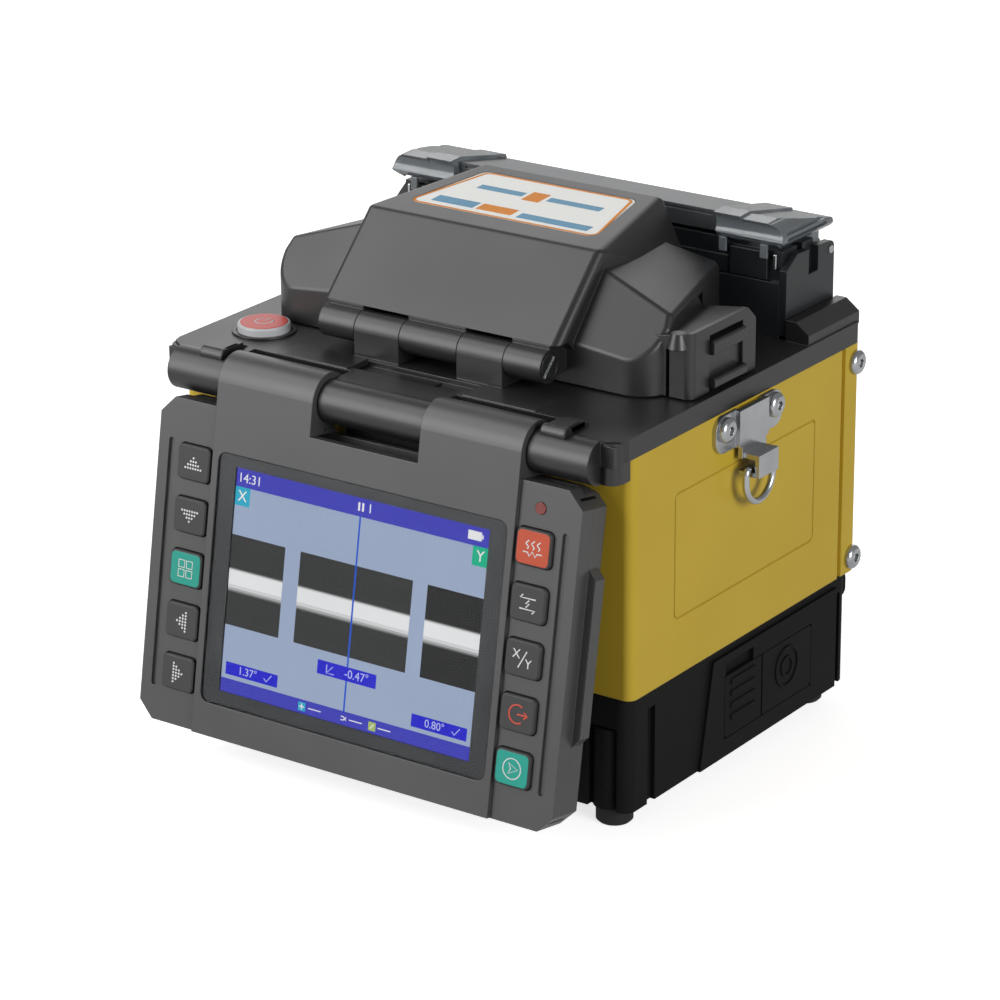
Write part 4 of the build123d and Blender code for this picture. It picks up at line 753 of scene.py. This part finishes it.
# Half-round pads on the front of the stops that the monitor's knuckles meet.
stops = Piece("knuckle_stops", deck_face, [abs_black])
for side in (-1, 1):
    middle = side * 60.6
    stops.bar((middle - 4.1, middle + 4.1), -70.0, 0.35, 2.1)
    stops.plate((middle - 3.4, middle + 3.4), (-69.8, -60.5), (-0.4, 1.9), edge=0.4)
stops.done("case")

# Round posts at the two front corners, beside the barrel's ends.
corners = Piece("corner_posts", deck_face, [abs_black])
for side in (-1, 1):
    corners.round(side * 76.1, -65.6, (-12.6, -0.5), 3.3, segments=40)
corners.done("case")

# ---------------------------------------------------------------- heater front
heater_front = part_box("heater_housing")[0].y
heater_face = place_on((0, heater_front, deck_z), (1, 0, 0), (0, 0, 1))
fronts = Piece("heater_fronts", heater_face, [acetal_dark])
fronts.plate((-50.6, 50.6), (17.3, 22.6), (-1.38, -0.7), edge=0.2)
for side in (-1, 1):
    low, high = sorted((side * 51.2, side * 64.2))
    fronts.plate((low, high), (17.3, 26.0), (-1.38, -0.1), edge=0.25)
fronts.done("case")
pegs = Piece("heater_pegs", heater_face, [stainless])
for side in (-1, 1):
    pegs.plate((side * 66.6 - 0.6, side * 66.6 + 0.6), (20.8, 25.6), (-1.38, -0.3), edge=0.4)
pegs.done("case")
for name, side in (("left", -1), ("right", 1)):
    clips = Piece("clamp_clips_" + name, heater_face, [smoky_pc])
    for middle in (side * 49.4, side * 63.6):
        clips.plate((middle - 1.3, middle + 1.3), (24.2, 28.6), (0.25, 1.15), edge=0.3)
    clips.done("heater_clamp_" + name)

# ---------------------------------------------------------------- base
cover_low, cover_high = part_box("base_covers")
for name, side in (("left", -1), ("right", 1)):
    edge_x = cover_high.x if side > 0 else cover_low.x
    base_face = place_on((edge_x, set_back, 0), (0, side, 0), (0, 0, 1))
    ribs = Piece("base_ribs_" + name, base_face, [nylon_base])
    for low, high in ((16.8, 18.6), (20.6, 22.4), (24.4, 26.2), (28.2, 30.0)):
        ribs.plate(sorted((side * -6.5, side * 7.0)), (low, high), (-0.1, 0.45), edge=0.2)
    for radius in (6.2, 3.0):
        ribs.stroke([ring_points(side * 25.2, 23.0, radius)[:-1]], 1.1, 0.15, closed=True, thickness=0.6)
    ribs.done("case")


# ---------------------------------------------------------------- camera, floor and light
def camera():
    """The operator's view from the right, a little above the object, through a long lens."""
    azimuth, elevation, roll = math.radians(35.20), math.radians(20.83), math.radians(-0.40)
    distance = 1.22416
    target = Vector((-3.67 * MM, -6.22 * MM + set_back, 68.64 * MM))
    back = Vector(
        (
            math.sin(azimuth) * math.cos(elevation),
            -math.cos(azimuth) * math.cos(elevation),
            math.sin(elevation),
        )
    )
    right = Vector((math.cos(azimuth), math.sin(azimuth), 0))
    up = back.cross(right)
    right, up = (
        right * math.cos(roll) + up * math.sin(roll),
        up * math.cos(roll) - right * math.sin(roll),
    )
    place = target + back * distance
    data = bpy.data.cameras.new("camera")
    data.lens, data.sensor_width = 145.71, 36.0
    data.clip_start, data.clip_end = 0.05, 50
    rig = bpy.data.objects.new("camera", data)
    rows = [(right[i], up[i], back[i], place[i]) for i in range(3)]
    rig.matrix_world = Matrix((*rows, (0, 0, 0, 1)))
    bpy.context.collection.objects.link(rig)
    bpy.context.scene.camera = rig


camera()


def studio_paper():
    """Matt white paper, lit from below as on a light table where the camera sees it.

    Reflections in the object see it half as bright, and the light that it sends onto the object is dimmer
    still, so that the sides stay dark.
    """
    paper = bpy.data.materials.new("studio_paper_white")
    paper.use_nodes = True
    tree = paper.node_tree
    tree.nodes.clear()
    white = add(tree, "BsdfDiffuse", {"Color": linear("#e6e6e6")})
    glow = add(tree, "Emission", {"Strength": 0.74})
    bright = add(tree, "AddShader", links={0: white.outputs[0], 1: glow.outputs[0]})
    dim = add(tree, "BsdfDiffuse", {"Color": linear("#6a6a6a")})
    rays = add(tree, "LightPath").outputs
    share = add(
        tree,
        "Math",
        {1: 0.5},
        {0: rays["Is Glossy Ray"], 2: rays["Is Camera Ray"]},
        operation="MULTIPLY_ADD",
    )
    mixed = add(tree, "MixShader", links={0: share.outputs[0], 1: dim.outputs[0], 2: bright.outputs[0]})
    add(tree, "OutputMaterial", links={"Surface": mixed.outputs[0]})
    return paper


floor_mesh = bpy.data.meshes.new("floor")
shape = bmesh.new()
bmesh.ops.create_grid(shape, x_segments=1, y_segments=1, size=6)
shape.to_mesh(floor_mesh)
shape.free()
floor = bpy.data.objects.new("floor", floor_mesh)
bpy.context.collection.objects.link(floor)
floor_mesh.materials.append(studio_paper())


def softbox(name, where, size, power):
    """A rectangular area light that faces the object, in metres and watts."""
    data = bpy.data.lights.new(name, "AREA")
    data.shape = "RECTANGLE"
    data.size, data.size_y = size
    data.energy = power
    aim = Vector((0, 0, 0.1)) - Vector(where)
    light = bpy.data.objects.new(name, data)
    light.location = where
    light.rotation_euler = aim.to_track_quat("-Z", "Y").to_euler()
    bpy.context.collection.objects.link(light)


softbox("front_left", (-1.15, -1.7, 0.85), (1.5, 1.5), 34)
softbox("upper_left", (-1.3, -0.6, 1.7), (1.2, 1.2), 14)
softbox("back_left", (-1.1, 1.55, 0.85), (1.6, 1.3), 8)
softbox("right", (2.0, -0.6, 0.7), (1.0, 1.1), 29)


def studio_air():
    """A white room, full bright where the camera sees it, and dimmer in reflections and as light."""
    room = bpy.data.worlds.new("studio")
    room.use_nodes = True
    tree = room.node_tree
    tree.nodes.clear()
    white = {"Color": linear("#ffffff")}
    around = add(tree, "Background", {**white, "Strength": 0.12})
    mirrored = add(tree, "Background", {**white, "Strength": 0.3})
    behind = add(tree, "Background", {**white, "Strength": 1.0})
    rays = add(tree, "LightPath").outputs
    unseen = add(
        tree, "MixShader", links={0: rays["Is Glossy Ray"], 1: around.outputs[0], 2: mirrored.outputs[0]}
    )
    mixed = add(
        tree, "MixShader", links={0: rays["Is Camera Ray"], 1: unseen.outputs[0], 2: behind.outputs[0]}
    )
    add(tree, "OutputWorld", links={"Surface": mixed.outputs[0]})
    return room


bpy.context.scene.world = studio_air()
bpy.context.scene.view_settings.view_transform = "Standard"
